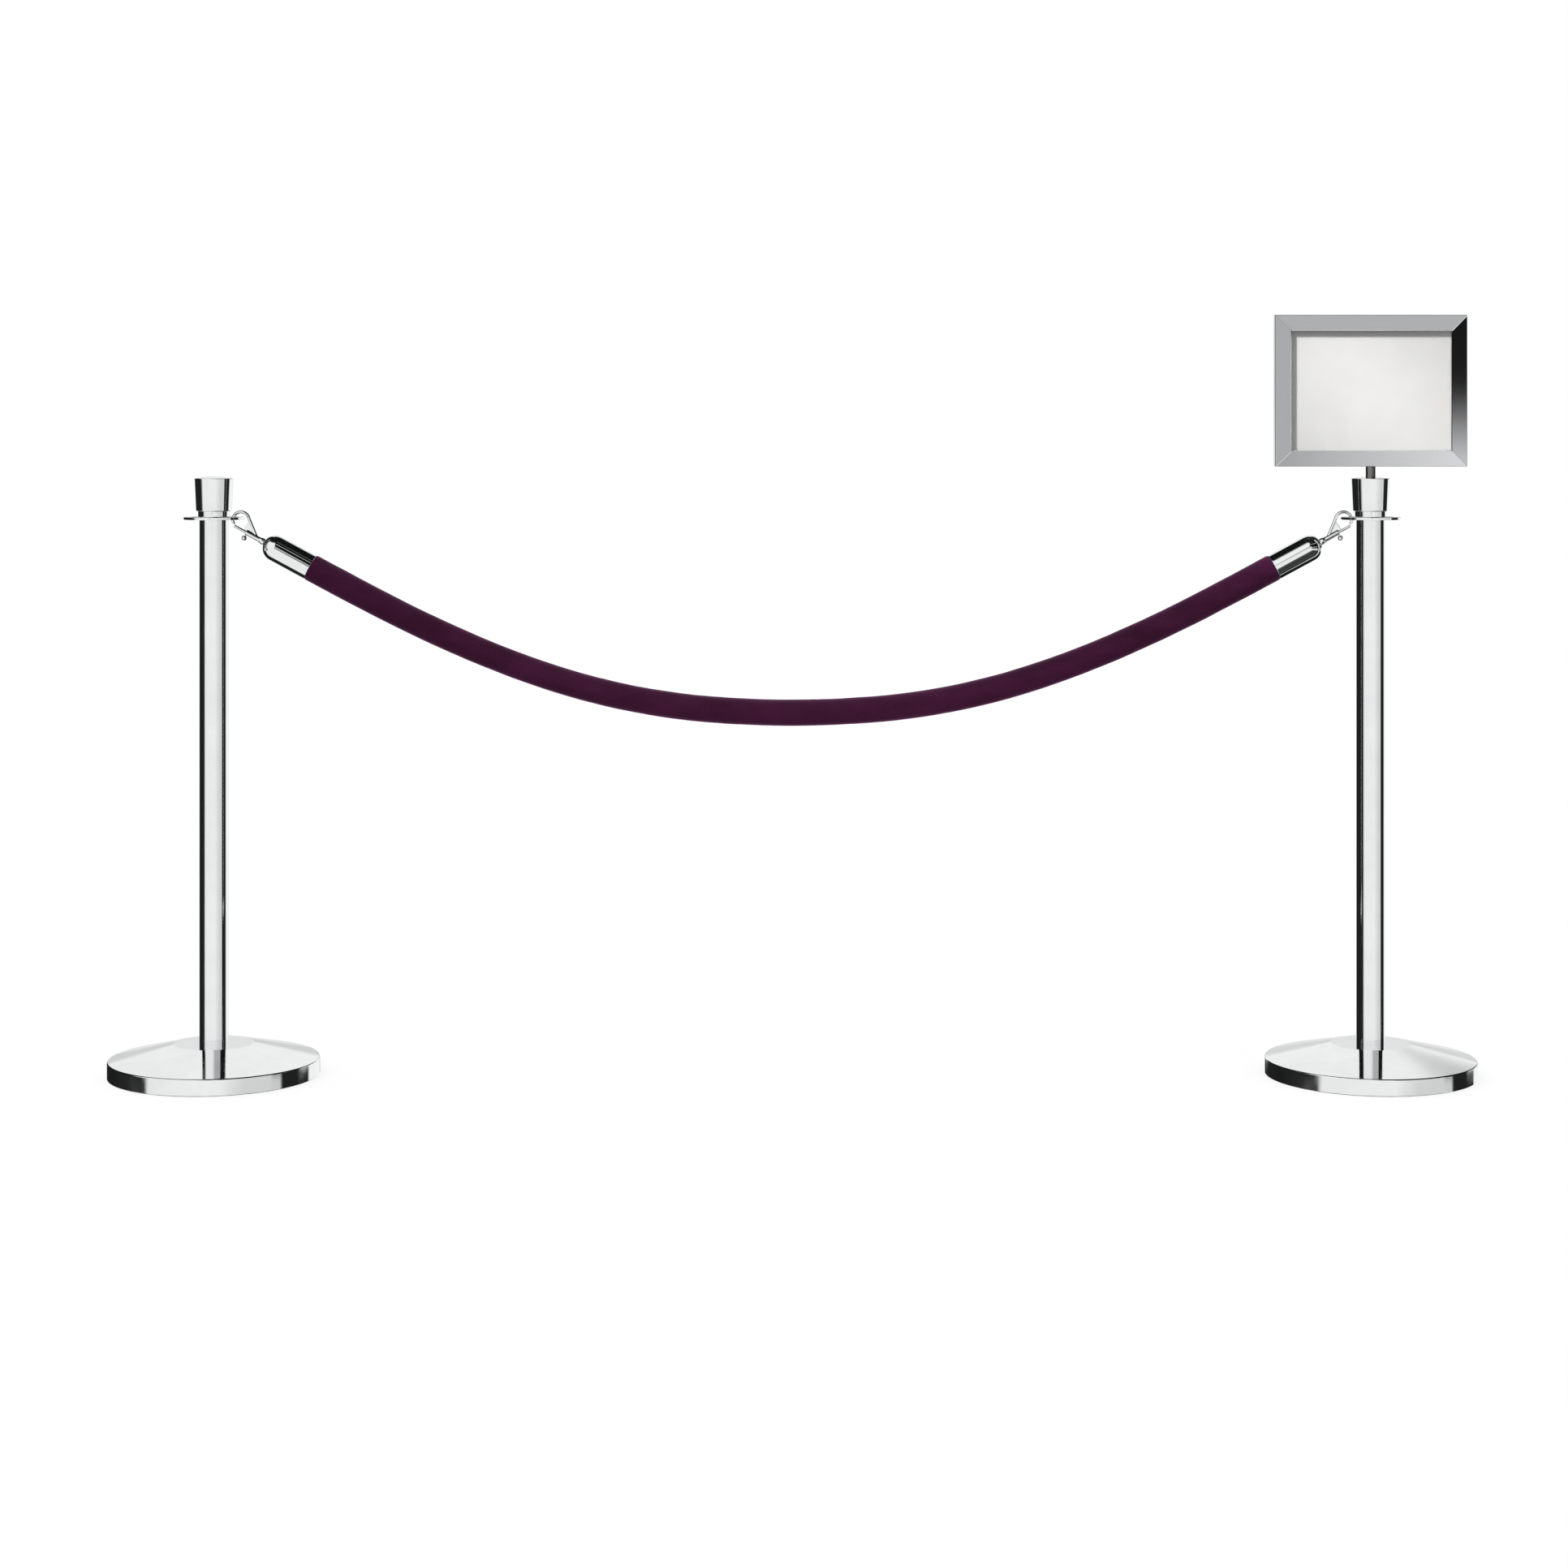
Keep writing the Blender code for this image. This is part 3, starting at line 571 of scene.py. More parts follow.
def base_cover(side, finish):
    """The pressed cover, polished, with soft edges and a rolled foot."""
    node = f"{side}_base_cover"
    low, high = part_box(node)
    radius = (high.x - low.x) / 2
    slope = math.atan2(high.z - SKIRT_TOP, radius - PLATEAU_RADIUS)
    lean = SHEET * math.tan(math.pi / 4 - slope / 2)
    bend = SHEET * math.tan(slope / 2)
    outside = softened(
        [(BOLT_BORE, high.z), (PLATEAU_RADIUS, high.z), (radius, SKIRT_TOP), (radius, low.z + 0.0004)],
        0.0022,
        closed=False,
    )
    foot = [(radius - 0.0004, low.z), (radius - SHEET, low.z)]
    inside = [
        (radius - SHEET, SKIRT_TOP - lean),
        (PLATEAU_RADIUS - bend, high.z - SHEET),
        (BOLT_BORE, high.z - SHEET),
    ]
    place = middle(node)
    made = piece(f"{side}_cover", turned(outside + foot + inside, 192), finish["chrome"], at(place.x, 0, 0))
    return take(made, "posts", node)


def post_tube(side, finish):
    """The polished tube, open at both ends."""
    node = f"{side}_post_tube"
    low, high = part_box(node)
    radius = (high.x - low.x) / 2
    inner = radius - TUBE_WALL
    foot = low.z - 0.00025  # the tube is drawn down hard on the cover
    corners = [(radius, foot), (radius, high.z), (inner, high.z), (inner, foot)]
    outline = softened(corners, 0.0004, 2, closed=False)
    made = piece(f"{side}_tube", turned(outline, 128), finish["chrome"], at(middle(node).x, 0, 0))
    return take(made, "posts", node)


def slot_shape(turn, height):
    """One kidney slot, cut right through."""
    centre = (SLOT_INNER + SLOT_OUTER) / 2
    end = (SLOT_OUTER - SLOT_INNER) / 2
    half = SLOT_HALF_ANGLE
    first = (centre * math.cos(half), centre * math.sin(half))
    last = (first[0], -first[1])
    outline = arc((0, 0), SLOT_OUTER, -half, half, 24)
    outline += arc(first, end, half, half + math.pi, 14)[1:-1]
    outline += arc((0, 0), SLOT_INNER, half, -half, 20)
    outline += arc(last, end, math.pi - half, math.tau - half, 14)[1:-1]
    shape = plate(outline, 0.02)
    spin = Matrix.Rotation(turn, 4, "Z") @ Matrix.Rotation(math.pi / 2, 4, "X")
    bmesh.ops.transform(shape, matrix=at(0, 0, height) @ spin, verts=shape.verts)
    return shape


def rope_ring(side, finish):
    """The slotted plate, every edge rounded."""
    node = f"{side}_rope_ring"
    low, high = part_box(node)
    radius = (high.x - low.x) / 2
    outline = [(radius, high.z), (radius, low.z), (STUD_BORE, low.z), (STUD_BORE, high.z)]
    made = piece(f"{side}_ring", turned(outline, 160), finish["chrome"], at(middle(node).x, 0, 0))
    height = (low.z + high.z) / 2
    cut(made, [slot_shape(k * math.pi / 2, height) for k in range(4)])
    soften = made.modifiers.new("round edges", "BEVEL")
    soften.width = 0.0011
    soften.segments = 4
    soften.limit_method = "ANGLE"
    soften.angle_limit = math.radians(50)
    settle(made)
    made.data.shade_smooth()
    made.data.set_sharp_from_angle(angle=math.radians(50))
    return take(made, "posts", node)


def neck_collar(side, finish):
    """The plain spacer between the ring and the head."""
    node = f"{side}_neck_collar"
    low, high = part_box(node)
    radius = (high.x - low.x) / 2
    corners = [(radius, high.z), (radius, low.z), (STUD_BORE, low.z), (STUD_BORE, high.z)]
    outline = softened(corners, 0.0005, 3)
    made = piece(f"{side}_collar", turned(outline, 96), finish["chrome"], at(middle(node).x, 0, 0))
    return take(made, "posts", node)


def post_head(side, finish):
    """The tapered head with its low crown; the right-hand one is bored for the sign's stem."""
    node = f"{side}_post_head"
    low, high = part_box(node)
    top_radius = (high.x - low.x) / 2
    crown = high.z - HEAD_SHOULDER
    crown_line = [(top_radius * k / 6, high.z - crown * (k / 6) ** 2) for k in range(7)]
    edge = crown_line[-1]
    heel = (HEAD_FOOT_RADIUS, low.z)
    rim = softened([crown_line[-2], edge, heel], 0.0009, 4, closed=False)[1:-1]
    foot = softened([edge, heel, (STUD_BORE, low.z)], 0.0006, 3, closed=False)[1:-1]
    top = crown_line[:-1]
    under = [(STUD_BORE, low.z), (STUD_BORE, low.z + STUD_IN_HEAD), (0, low.z + STUD_IN_HEAD)]
    if side == "right":
        stem_low, stem_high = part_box("sign_stem")
        bore = (stem_high.x - stem_low.x) / 2 + GAP
        bore_end = stem_low.z - GAP
        lip = high.z - crown * (bore / top_radius) ** 2
        beyond = [point for point in top if point[0] > bore + 0.0012]
        top = [(bore, bore_end), (bore, lip - 0.0006), (bore + 0.0006, lip), *beyond]
        under.append((0, bore_end))
    place = middle(node)
    made = piece(f"{side}_head", turned(top + rim + foot + under, 128), finish["chrome"], at(place.x, 0, 0))
    if side == "right":
        screw_low, screw_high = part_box("sign_set_screw")
        hole = rod((screw_high.x - screw_low.x) / 2 + GAP, 0.004, 0.06)
        lay = at(0, 0, (screw_low.z + screw_high.z) / 2) @ Matrix.Rotation(-math.pi / 2, 4, "X")
        bmesh.ops.transform(hole, matrix=lay, verts=hole.verts)
        cut(made, [hole])
    return take(made, "posts", node)


def set_screw(finish):
    """A grub screw with a hexagon socket in the back of the right-hand head."""
    low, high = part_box("sign_set_screw")
    radius = (high.x - low.x) / 2
    length = high.y - low.y
    outline = softened([(0, length), (radius, length), (radius, 0), (0, 0)], 0.0003, 2, closed=False)
    place = at((low.x + high.x) / 2, low.y, (low.z + high.z) / 2) @ Matrix.Rotation(-math.pi / 2, 4, "X")
    made = piece("set_screw", turned(outline, 32), finish["steel"], place)
    socket = rod(0.00115, length + 0.001, length - 0.002, 6)
    cut(made, [socket])
    return take(made, "posts", "sign_set_screw")


def post(side, finish):
    """Everything that shows of one post."""
    base_cover(side, finish)
    post_tube(side, finish)
    rope_ring(side, finish)
    neck_collar(side, finish)
    post_head(side, finish)


# Sign


def rail(name, finish):
    """One mitred rail. Its face falls to the outer edge, with a small lip inside, and a channel behind."""
    node = f"sign_rail_{name}"
    low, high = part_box(node)
    whole_low, whole_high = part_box("sign_rail_top")
    bottom_low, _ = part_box("sign_rail_bottom")
    centre = Vector(((whole_low.x + whole_high.x) / 2, 0, (whole_high.z + bottom_low.z) / 2))
    half_w = (whole_high.x - whole_low.x) / 2
    half_h = (whole_high.z - bottom_low.z) / 2
    depth = (high.y - low.y) / 2
    fall = RAIL_FACE * math.tan(RAIL_SLOPE)
    lip = 0.0012
    # (in from the outer edge, y) round the rail's section, front first
    section = [
        (0, -depth + fall + 0.0006),
        (0.0005, -depth + fall),
        (RAIL_FACE - lip, -depth),
        (RAIL_FACE - 0.0002, -depth + lip),
        (RAIL_FACE, -depth + 2 * lip),
        (RAIL_FACE, depth - 0.0006),
        (RAIL_FACE - 0.0006, depth),
        (0.0006, depth),
        (0, depth - 0.0006),
    ]
    upright = name in ("left", "right")
    long_half = half_h if upright else half_w
    short_half = half_w if upright else half_h
    way = 1 if name in ("right", "top") else -1
    mitre = 0.00015
    # (end, how far back from the mitre, drop of the face) of each ring; one end of two rails is bevelled
    stations = [(-1, 0, 0), (1, 0, 0)]
    if name == "bottom":
        stations = [(-1, 0, BEVEL_DROP), (-1, BEVEL_RUN, 0), (1, 0, 0)]
    if name == "right":
        stations = [(-1, 0, 0), (1, BEVEL_RUN, 0), (1, 0, BEVEL_DROP)]
    shape = bmesh.new()
    rings = []
    for end, back, drop in stations:
        ring = []
        for inward, y in section:
            out = way * (short_half - inward)
            run = end * (long_half - inward - mitre - back)
            if y < 0:
                y += drop
            ring.append(shape.verts.new((out, y, run) if upright else (run, y, out)))
        rings.append(ring)
    shape.faces.new(rings[0])
    shape.faces.new(rings[-1])
    for a, b in zip(rings, rings[1:]):
        for i in range(len(section)):
            j = (i + 1) % len(section)
            shape.faces.new((a[i], a[j], b[j], b[i]))
    material = finish["satin_z"] if upright else finish["satin_x"]
    made = piece(f"rail_{name}", shape, material, Matrix.Translation(centre), sharp=25)
    insert_low, insert_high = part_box("sign_paper")
    channel = block(
        (insert_low.x - PLAY - centre.x, -CHANNEL_WIDTH / 2, insert_low.z - GAP - centre.z),
        (insert_high.x + PLAY - centre.x, CHANNEL_WIDTH / 2, half_h + 0.01),
    )
    cutters = [channel]
    if name == "bottom":
        bore_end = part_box("sign_stem")[1].z + GAP - centre.z
        cutters.append(rod(TENON_RADIUS + GAP, bore_end, -half_h - 0.01, 48))
    cut(made, cutters, sharp=25)
    return take(made, "sign", node)


def sign_stem(finish):
    """A round stem, shouldered under the frame, with a thinner tenon up into the bottom rail."""
    low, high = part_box("sign_stem")
    radius = (high.x - low.x) / 2
    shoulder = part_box("sign_rail_bottom")[0].z - 0.0002
    tenon = [(0, high.z), (TENON_RADIUS, high.z), (TENON_RADIUS, shoulder)]
    outline = softened([*tenon, (radius, shoulder), (radius, low.z), (0, low.z)], 0.0005, 3, closed=False)
    made = piece("stem", turned(outline, 64), finish["stem"], at((low.x + high.x) / 2, 0, 0))
    return take(made, "sign", "sign_stem")


def sheet_piece(node, name, material):
    """A cut sheet with slightly rounded corners."""
    low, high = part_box(node)
    centre = (low + high) / 2
    half = (high - low) / 2
    corners = [(-half.x, -half.z), (half.x, -half.z), (half.x, half.z), (-half.x, half.z)]
    outline = softened(corners, 0.0015, 4)
    made = piece(name, plate(outline, 2 * half.y), material, Matrix.Translation(centre))
    return take(made, "sign_insert", node)


def sign(finish):
    """The frame, its stem and the three sheets in it."""
    for name in ("top", "bottom", "left", "right"):
        rail(name, finish)
    sign_stem(finish)
    sheet_piece("sign_front_window", "front_window", finish["window"])
    sheet_piece("sign_back_window", "back_window", finish["window"])
    sheet_piece("sign_paper", "paper", finish["paper"])


# Rope


def rope_line(steps):
    """The rope's whole centre line: evenly spaced points on a Catmull-Rom curve between the two mouths."""
    right = [Vector((x, 0, z)) for x, z in ROPE_ROUTE]
    left = [Vector((-x, 0, z)) for x, z in reversed(ROPE_ROUTE[1:])]
    points = left + right
    out = Vector((math.cos(ROPE_TILT), 0, math.sin(ROPE_TILT))) * 0.02
    padded = [points[0] + Vector((-out.x, 0, out.z)), *points, points[-1] + out]
    fine = []
    for before, start, end, after in zip(padded, padded[1:], padded[2:], padded[3:]):
        for t in (i / 40 for i in range(40)):
            ease = 3 * start - before - 3 * end + after
            bend = 2 * before - 5 * start + 4 * end - after
            fine.append(start + ((end - before) * t + bend * t**2 + ease * t**3) / 2)
    fine.append(points[-1])
    places = np.array([tuple(p) for p in fine])
    travelled = np.concatenate([[0], np.cumsum(np.linalg.norm(np.diff(places, axis=0), axis=1))])
    wanted = np.linspace(0, travelled[-1], steps + 1)
    even = [np.interp(wanted, travelled, places[:, k]) for k in range(3)]
    return [Vector(p) for p in zip(*even)], float(travelled[-1])


def bell(distance, width):
    """One at no distance, and fading to nothing past the width."""
    return math.exp(-((distance / width) ** 2))


def velvet_radius(along, angle, length, place):
    """The pile's outer radius: soft lumps, gathers beside the caps and the sunken seam."""
    from_end = min(along, length - along)
    lumps = 0.00028 * noise.noise(place * 22) + 0.00014 * noise.noise(place * 70)
    gather = 0.00035 * math.exp(-from_end / 0.016) * math.sin(15 * angle + 2.5 * math.sin(2 * angle))
    tuck = 0.0011 * bell(from_end, 0.0016)
    fuller = 0.0003 + 0.0005 * bell(from_end, 0.25)  # the filling bunches towards the caps
    wander = SEAM_ANGLE + 0.12 * math.sin(along * 7)
    off = math.remainder(angle - wander, math.tau) * VELVET_RADIUS
    seam = 0.0009 * bell(off, 0.0009) - 0.00025 * bell(abs(off) - 0.003, 0.0015)
    pucker = 0.00012 * math.sin(along * 900) * bell(off, 0.003)
    return VELVET_RADIUS + fuller + lumps + gather - tuck - seam + pucker


def velvet_rope(finish):
    """The velvet sleeve, swept along the route and tucked into both caps. Returns its centre line too."""
    line, length = rope_line(ROPE_RINGS)
    out = Vector((math.cos(ROPE_TILT), 0, math.sin(ROPE_TILT)))
    back = Vector((-out.x, 0, out.z))
    path = [line[0] + back * depth for depth, _ in reversed(TUCKED)]
    path += line + [line[-1] + out * depth for depth, _ in TUCKED]
    shape = bmesh.new()
    rings = []
    for i, place in enumerate(path):
        ahead = (path[min(i + 1, len(path) - 1)] - path[max(i - 1, 0)]).normalized()
        up = Vector((-ahead.z, 0, ahead.x))
        side = Vector((0, -1, 0))
        step = i - len(TUCKED)
        hidden = max(-step, step - ROPE_RINGS)
        ring = []
        for k in range(ROPE_SIDES):
            a = math.tau * k / ROPE_SIDES
            way = math.cos(a) * up + math.sin(a) * side
            if hidden > 0:
                r = TUCKED[hidden - 1][1]
            else:
                r = velvet_radius(length * step / ROPE_RINGS, a, length, place + way * VELVET_RADIUS)
            ring.append(shape.verts.new(place + way * r))
        rings.append(ring)
    for a, b in zip(rings, rings[1:]):
        for k in range(ROPE_SIDES):
            j = (k + 1) % ROPE_SIDES
            shape.faces.new((a[k], a[j], b[j], b[k]))
    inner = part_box("rope_core")[1].y + 0.0004
    for ring, place in ((rings[0], path[0]), (rings[-1], path[-1])):
        mouth = [shape.verts.new(place + (v.co - place).normalized() * inner) for v in ring]
        for k in range(ROPE_SIDES):
            j = (k + 1) % ROPE_SIDES
            shape.faces.new((ring[k], ring[j], mouth[j], mouth[k]))
    made = piece("velvet_rope", shape, finish["velvet"], sharp=60)
    take(made, "rope", "velvet_sleeve")
    return made, path, length + 2 * TUCKED[-1][0]


def end_frame(side):
    """The frame of a rope end at the cap's mouth: +X away from the rope, +Z up from it."""
    k = SIDES[side]
    ahead = Vector((k * math.cos(ROPE_TILT), 0, math.sin(ROPE_TILT)))
    up = Vector((-k * math.sin(ROPE_TILT), 0, math.cos(ROPE_TILT)))
    turn = Matrix((ahead, up.cross(ahead), up)).transposed().to_4x4()
    mouth_x, mouth_z = ROPE_ROUTE[-1]
    return Matrix.Translation((k * mouth_x, 0, mouth_z)) @ turn


def end_cap(side, finish):
    """The bullet cap: a rolled lip at the mouth, a straight barrel and a round nose."""
    start = math.asin(CAP_TIP_FLAT / CAP_RADIUS)
    nose = arc((0, CAP_STRAIGHT), CAP_RADIUS, math.pi / 2 - start, 0, 22)
    inner = CAP_RADIUS - SHEET
    roof = CAP_LENGTH - SHEET
    inner_start = math.acos((roof - CAP_STRAIGHT) / inner)
    inside = arc((0, CAP_STRAIGHT), inner, 0, math.pi / 2 - inner_start, 14)
    lip = arc((CAP_RADIUS - 0.0006, 0.0006), 0.0006, 0, -math.pi, 8)
    outline = [(RIVET_BORE, CAP_LENGTH), *nose, (CAP_RADIUS, 0.003), *lip, *inside, (RIVET_BORE, roof)]
    made = piece(f"{side}_cap", turned(outline, 112, "x"), finish["chrome"], end_frame(side), sharp=35)
    low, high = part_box(f"{side}_cap_screw")
    seat = end_frame(side).inverted() @ ((low + high) / 2)
    hole_way = 1 if seat.y > 0 else -1
    hole = rod(0.0019, 0.01, 0.03, 24)
    lay = at(seat.x, 0, 0) @ Matrix.Rotation(-hole_way * math.pi / 2, 4, "X")
    bmesh.ops.transform(hole, matrix=lay, verts=hole.verts)
    cut(made, [hole], sharp=35)
    return take(made, "rope", f"{side}_end_cap")


def cap_screw(side, finish):
    """A pan-head screw with a cross slot."""
    node = f"{side}_cap_screw"
    low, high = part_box(node)
    seat = end_frame(side).inverted() @ ((low + high) / 2)
    way = 1 if seat.y > 0 else -1
    outer = high.y if high.y > -low.y else -low.y
    inner = min(abs(high.y), abs(low.y))
    foot = CAP_RADIUS + GAP
    dome = [(0.003 * math.cos(a), foot + (outer - foot) * math.sin(a)) for a in (0.2, 0.6, 1.0, 1.35)]
    outline = [(0, outer), *reversed(dome), (0.003, foot), (0.0016, foot), (0.0016, inner), (0, inner)]
    place = end_frame(side) @ at(seat.x, 0, 0) @ Matrix.Rotation(-way * math.pi / 2, 4, "X")
    made = piece(f"{side}_pan_screw", turned(outline, 40), finish["steel"], place)
    slot = 0.0003
    cross = [block((-0.0016, -slot, outer - 0.0008), (0.0016, slot, outer + 0.001))]
    cross.append(block((-slot, -0.0016, outer - 0.0008), (slot, 0.0016, outer + 0.001)))
    cut(made, cross)
    return take(made, "rope", node)


def hook_frame(side):
    """The end's frame moved on to the cap's tip."""
    return end_frame(side) @ at(CAP_LENGTH, 0, 0)


def hook_body(side, finish):
    """The cast eye, web and barrel."""
    barrel = [
        (0, BARREL_END),
        (BARREL_RADIUS - 0.0006, BARREL_END),
        (BARREL_RADIUS, BARREL_END - 0.0008),
        (BARREL_RADIUS, 0.0095),
        (BARREL_RADIUS + 0.0003, 0.008),
        (BOSS_RADIUS, 0.006),
        (BOSS_RADIUS, 0.0018),
        (BOSS_RADIUS - 0.0008, GAP),
        (0, GAP),
    ]
    round_part = arc(EYE_CENTRE, EYE_RADIUS, EYE_START, NOSE_ANGLE + 0.06, 44)
    foot = Vector((0.0166, 0.0022))
    shoulder = Vector(round_part[0])
    back = [tuple(foot.lerp(shoulder, k / 10)) for k in range(10)]
    path = [(x, 0, z) for x, z in back + round_part]
    radii = [EYE_WIRE * (0.92 + 0.08 * min(1, k / 12)) for k in range(len(path))]
    inner = arc(EYE_CENTRE, EYE_RADIUS - 0.0012, math.radians(150), math.radians(205), 10)
    web = [(0.0153, 0.0015), tuple(shoulder), *inner, (inner[-1][0] - 0.0006, 0.002)]
    shapes = [turned(barrel, 48, "x"), swept(path, radii), plate(web, 0.0026)]
    made = casting(f"{side}_hook", shapes, finish["chrome"], hook_frame(side), 0.00042, 5)
    latch_bore = rod(BORE_RADIUS, 0.07, BORE_START, axis="x")
    rivet_bore = rod(RIVET_BORE, BOSS_LENGTH, -0.002, axis="x")
    wide = KNOB_STEM_RADIUS + GAP
    slot = block(
        (KNOB_PLACE - LATCH_TRAVEL - wide - GAP, -wide, -2 * BARREL_RADIUS),
        (BARREL_END + 0.002, wide, 0),
    )
    cut(made, [latch_bore, rivet_bore, slot], sharp=50)
    return take(made, f"{side}_hook", f"{side}_hook_body")


def hook_latch(side, finish):
    """The sliding bolt with its thumb knob."""
    tip = [
        (0, LATCH_FRONT),
        (0.0016, LATCH_FRONT),
        (0.0021, LATCH_FRONT - 0.0003),
        (LATCH_RADIUS, LATCH_FRONT - 0.0009),
        (LATCH_RADIUS, LATCH_BACK + 0.0003),
        (LATCH_RADIUS - 0.0003, LATCH_BACK),
        (0, LATCH_BACK),
    ]
    stem = rod(KNOB_STEM_RADIUS, 0, -KNOB_DROP, 24)
    ball = arc((0, -KNOB_DROP), KNOB_RADIUS, math.pi / 2, -math.pi / 2, 20)
    ball = [(max(r, 0), -KNOB_DROP + (z + KNOB_DROP) * 0.9) for r, z in ball]
    ball[0] = (0, ball[0][1])
    ball[-1] = (0, ball[-1][1])
    knob = turned(ball, 40)
    for part in (stem, knob):
        bmesh.ops.translate(part, vec=(KNOB_PLACE, 0, 0), verts=part.verts)
    shapes = [turned(tip, 40, "x"), stem, knob]
    made = casting(f"{side}_latch", shapes, finish["chrome"], hook_frame(side), 0.00028, 3)
    return take(made, f"{side}_latch", f"{side}_hook_latch")


def rope_end(side, finish):
    """The pieces at one end of the rope, in the order they go on."""
    made = [make(side, finish) for make in (end_cap, cap_screw, hook_body, hook_latch)]
    return made + [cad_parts[f"{side}_{name}"] for name in KEPT_ON_HOOK]


# Hidden and plain CAD nodes


def dress_kept_nodes(finish):
    """Gives each CAD node that stays its own finish."""
    wanted = {"rope_core": "cotton"}
    for side in SIDES:
        wanted[f"{side}_floor_ring"] = "rubber"
        wanted[f"{side}_base_weight"] = "iron"
        for name in (*KEPT_IN_POST, *KEPT_ON_HOOK):
            wanted[f"{side}_{name}"] = "steel"
    for node, name in wanted.items():
        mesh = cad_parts[node].data
        mesh.materials.clear()
        mesh.materials.append(finish[name])


# Studio


def studio_world():
    """What polish reflects is painted by direction; everything else is lit by a plain soft sky."""
    world = bpy.data.worlds.new("studio")
    bpy.context.scene.world = world
    world.use_nodes = True
    graph = Graph(world.node_tree)
    way = graph.add("ShaderNodeTexCoord").outputs["Generated"]
    x, y, z = graph.add("ShaderNodeSeparateXYZ", {"Vector": way}).outputs
    heading = graph.math("ARCTAN2", x, graph.math("MULTIPLY", y, -1.0))
    heading = graph.math("MULTIPLY", heading, 180 / math.pi)  # 0 towards the camera, 90 to its right
    rise = graph.math("MULTIPLY", graph.math("ARCSINE", z), 180 / math.pi)
    turn = graph.between(heading, -180, 180, smooth=False)

    def band(*stops):
        """Brightness all the way round, from (heading, brightness) stops."""
        return graph.ramp(turn, [((h + 180) / 360, value) for h, value in stops])

    def window(seen, value, left, right, low, high, soft, fade=None):
        """A patch over what is seen, with soft edges; those at its left and right may fade over more."""
        fade = fade or soft
        inside = graph.between(heading, left - fade, left + fade)
        edges = ((heading, right, -fade), (rise, low, soft), (rise, high, -soft))
        for value_in, edge, width in edges:
            inside = graph.math("MULTIPLY", inside, graph.between(value_in, edge - width, edge + width))
        return graph.mix(inside, seen, grey(value))

    # well below level: the heads, the bottom rail and the caps' undersides
    seen = band(
        (-180, 0.1), (-152, 0.09), (-142, 0.01), (-98, 0.01), (-84, 0.9), (3, 0.9), (7.4, 0.24),
        (13.1, 0.94), (16, 0.8), (20, 0.06), (40, 0.03), (51, 0.07), (65, 0.03), (90, 0.01),
        (160, 0.01), (180, 0.05),
    )
    # below level: the upright skirts of the bases
    skirt = band(
        (-180, 0.02), (-130, 0.012), (-100, 0.02), (-70, 0.03), (-65, 0.86), (-30, 0.9), (18, 0.91),
        (28, 0.8), (42, 0.7), (86, 0.68), (89, 0.015), (133, 0.015), (137, 0.95), (180, 0.95),
    )
    # the tubes, and again higher up the plateaus and the sides of the cones round them
    level = band(
        (-180, 0.8), (-163, 0.8), (-158, 0.015), (-74, 0.015), (-62, 0.88), (-40, 0.9), (18, 0.91),
        (28, 0.85), (52, 0.7), (73, 0.68), (78, 0.015), (113, 0.015), (122, 0.97), (160, 0.98),
        (165, 0.8), (180, 0.8),
    )
    # a little above level: small rounded parts
    raised = band(
        (-180, 0.66), (-160, 0.66), (-156, 0.01), (-88, 0.01), (-76, 0.92), (-8, 0.92), (-5, 0.04),
        (-1, 0.02), (1, 0.85), (13, 0.8), (17, 0.01), (155, 0.01), (160, 0.7), (180, 0.7),
    )
    # high: the fronts of the cones and the upper sides of the caps
    high = band(
        (-180, 0.92), (-160, 0.9), (-155, 0.005), (-88, 0.005), (-76, 0.92), (-3, 0.94), (2, 0.005),
        (140, 0.005), (150, 0.09), (157, 0.12), (162, 0.9), (180, 0.92),
    )
    for other, start, end in (  # each band takes over between two heights, in degrees
        (skirt, -13.6, -12.4),
        (level, -11.1, -10.95),
        (raised, -1.0, 0.95),
        (level, 9.6, 10.1),
        (high, 11.8, 12.8),
        (grey(0.005), 43, 58),
    ):
        seen = graph.mix(graph.between(rise, start, end), seen, other)
    seen = window(seen, 0.53, -7.6, -2.6, -1.4, 3.4, 0.3)  # in the sign's left rail
    seen = window(seen, 0.565, 6, 16, 13, 19.5, 0.8)  # in its top rail
    seen = window(seen, 0.8, -2, 16, 36.4, 39.4, 0.5, 3)  # in the tubes, as the cones mirror them
    seen = window(seen, 0.5, 15, 72, 36.4, 39.4, 0.5, 6)
    seen = window(seen, 0.13, 26, 41, 54, 57, 0.8)  # a faint streak along the caps
    sky = graph.between(rise, 0, 60, 0.22, 0.87)
    ray = graph.add("ShaderNodeLightPath")
    seen = graph.mix(ray.outputs["Is Glossy Ray"], sky, seen)
    seen = graph.mix(ray.outputs["Is Camera Ray"], seen, grey(1.0))
    background = graph.add("ShaderNodeBackground", {"Color": seen})
    graph.add("ShaderNodeOutputWorld", {"Surface": background.outputs[0]})


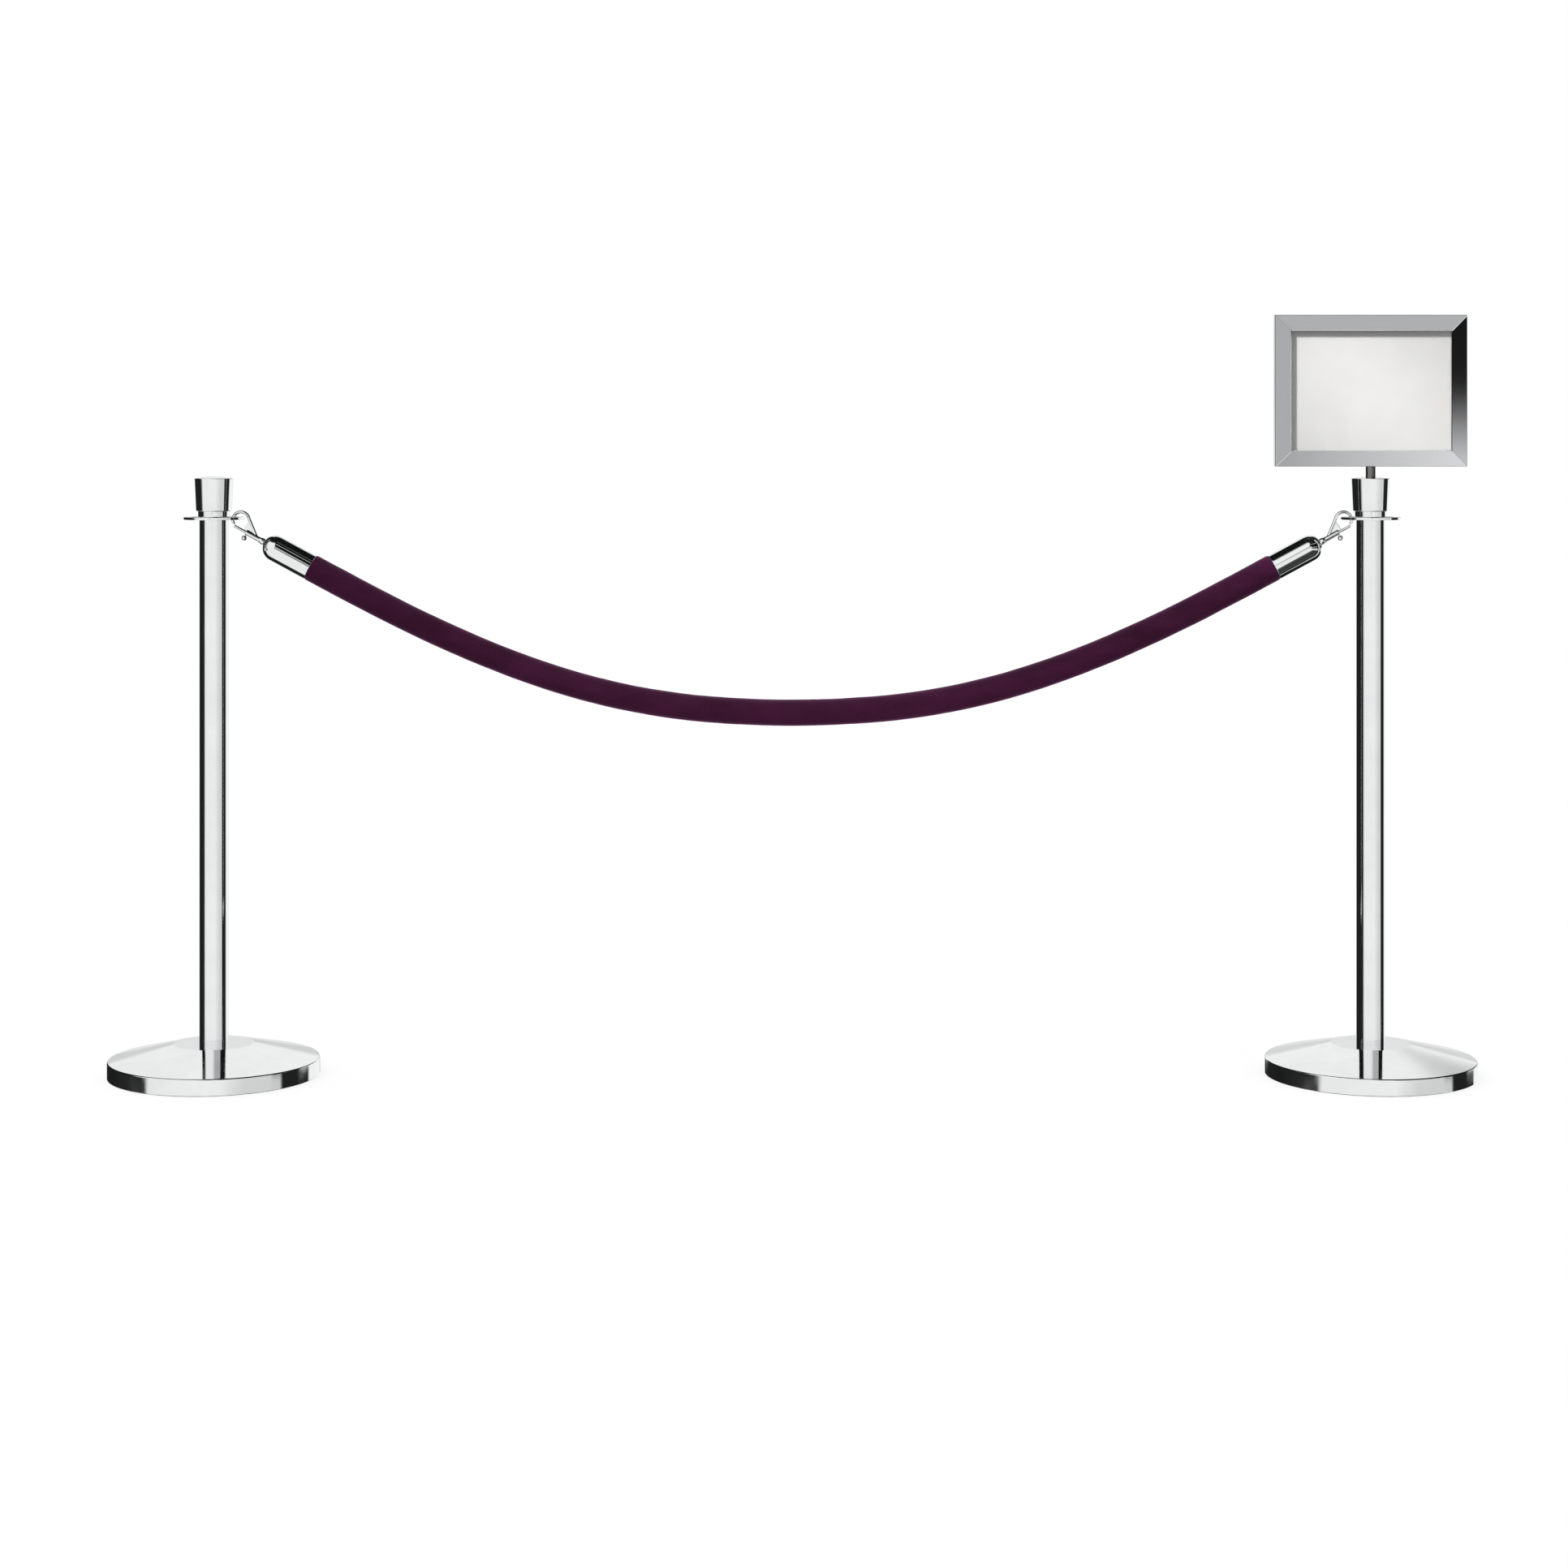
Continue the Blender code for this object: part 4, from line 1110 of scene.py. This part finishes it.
def floor():
    """A pale floor that the camera sees as bright as the backdrop, but for the contact shadows."""
    shape = bmesh.new()
    half = 40
    corners = ((-half, -half), (half, -half), (half, half), (-half, half))
    shape.faces.new([shape.verts.new((x, y, 0)) for x, y in corners])
    made_material, graph, shader = surface("pale_floor", Specular_IOR_Level=0.0, Roughness=1.0)
    graph.put(shader.inputs["Base Color"], graph.ramp(graph.noise(3, detail=2), [(0.3, 0.29), (0.7, 0.31)]))
    graph.put(shader.inputs["Emission Color"], grey(1.0))
    ray = graph.add("ShaderNodeLightPath")
    graph.put(shader.inputs["Emission Strength"], graph.math("MULTIPLY", ray.outputs["Is Camera Ray"], 0.8))
    made = piece("floor", shape, made_material)
    made.visible_glossy = False


def aimed_light(name, kind, place, target, watts, **settings):
    """A lamp that polish doesn't reflect, pointed at a target."""
    data = bpy.data.lights.new(name, kind)
    data.energy = watts
    for setting, value in settings.items():
        setattr(data, setting, value)
    made = bpy.data.objects.new(name, data)
    made.location = place
    made.rotation_euler = (Vector(target) - Vector(place)).to_track_quat("-Z", "Y").to_euler()
    made.visible_glossy = False
    bpy.context.scene.collection.objects.link(made)
    return made


def studio(rope_pieces):
    """The world, the floor and two lights: one shaped to the sign, one that reaches the rope alone."""
    studio_world()
    floor()
    narrow = {"spot_size": math.radians(8), "spot_blend": 0.3, "shadow_soft_size": 0.3}
    aimed_light("sign_light", "SPOT", (-1.8, -2.1, 3.83), (0.927, 0, 1.1), 1330, **narrow)
    strip = {"shape": "RECTANGLE", "size": 1.8, "size_y": 0.5, "spread": math.radians(60)}
    rope_light = aimed_light("rope_light", "AREA", (0, -2.4, 0.5), (0, 0, 0.68), 7.5, **strip)
    lit = bpy.data.collections.new("lit by the rope light")
    for obj in rope_pieces:
        lit.objects.link(obj)
    rope_light.light_linking.receiver_collection = lit


def camera():
    """Level, square to the barrier, and shifted down to frame it."""
    data = bpy.data.cameras.new("camera")
    data.lens = FOCAL_LENGTH
    data.sensor_width = 36
    data.shift_y = SHIFT_Y
    data.clip_end = 200
    made = bpy.data.objects.new("camera", data)
    made.location = CAMERA_PLACE
    made.rotation_euler = (math.pi / 2, 0, 0)
    bpy.context.scene.collection.objects.link(made)
    bpy.context.scene.camera = made


# Everything in order

bpy.context.scene.view_settings.view_transform = "Standard"
camera()
finish = all_finishes()
rope, rope_path, rope_length = velvet_rope(finish)
with_rope = [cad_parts["rope_core"], *rope_end("left", finish), *rope_end("right", finish)]
for hidden in (rope, *with_rope):
    hidden.visible_glossy = False  # the posts' polish then shows the studio alone
for side in SIDES:
    post(side, finish)
set_screw(finish)
sign(finish)
dress_kept_nodes(finish)
studio([rope, *with_rope])
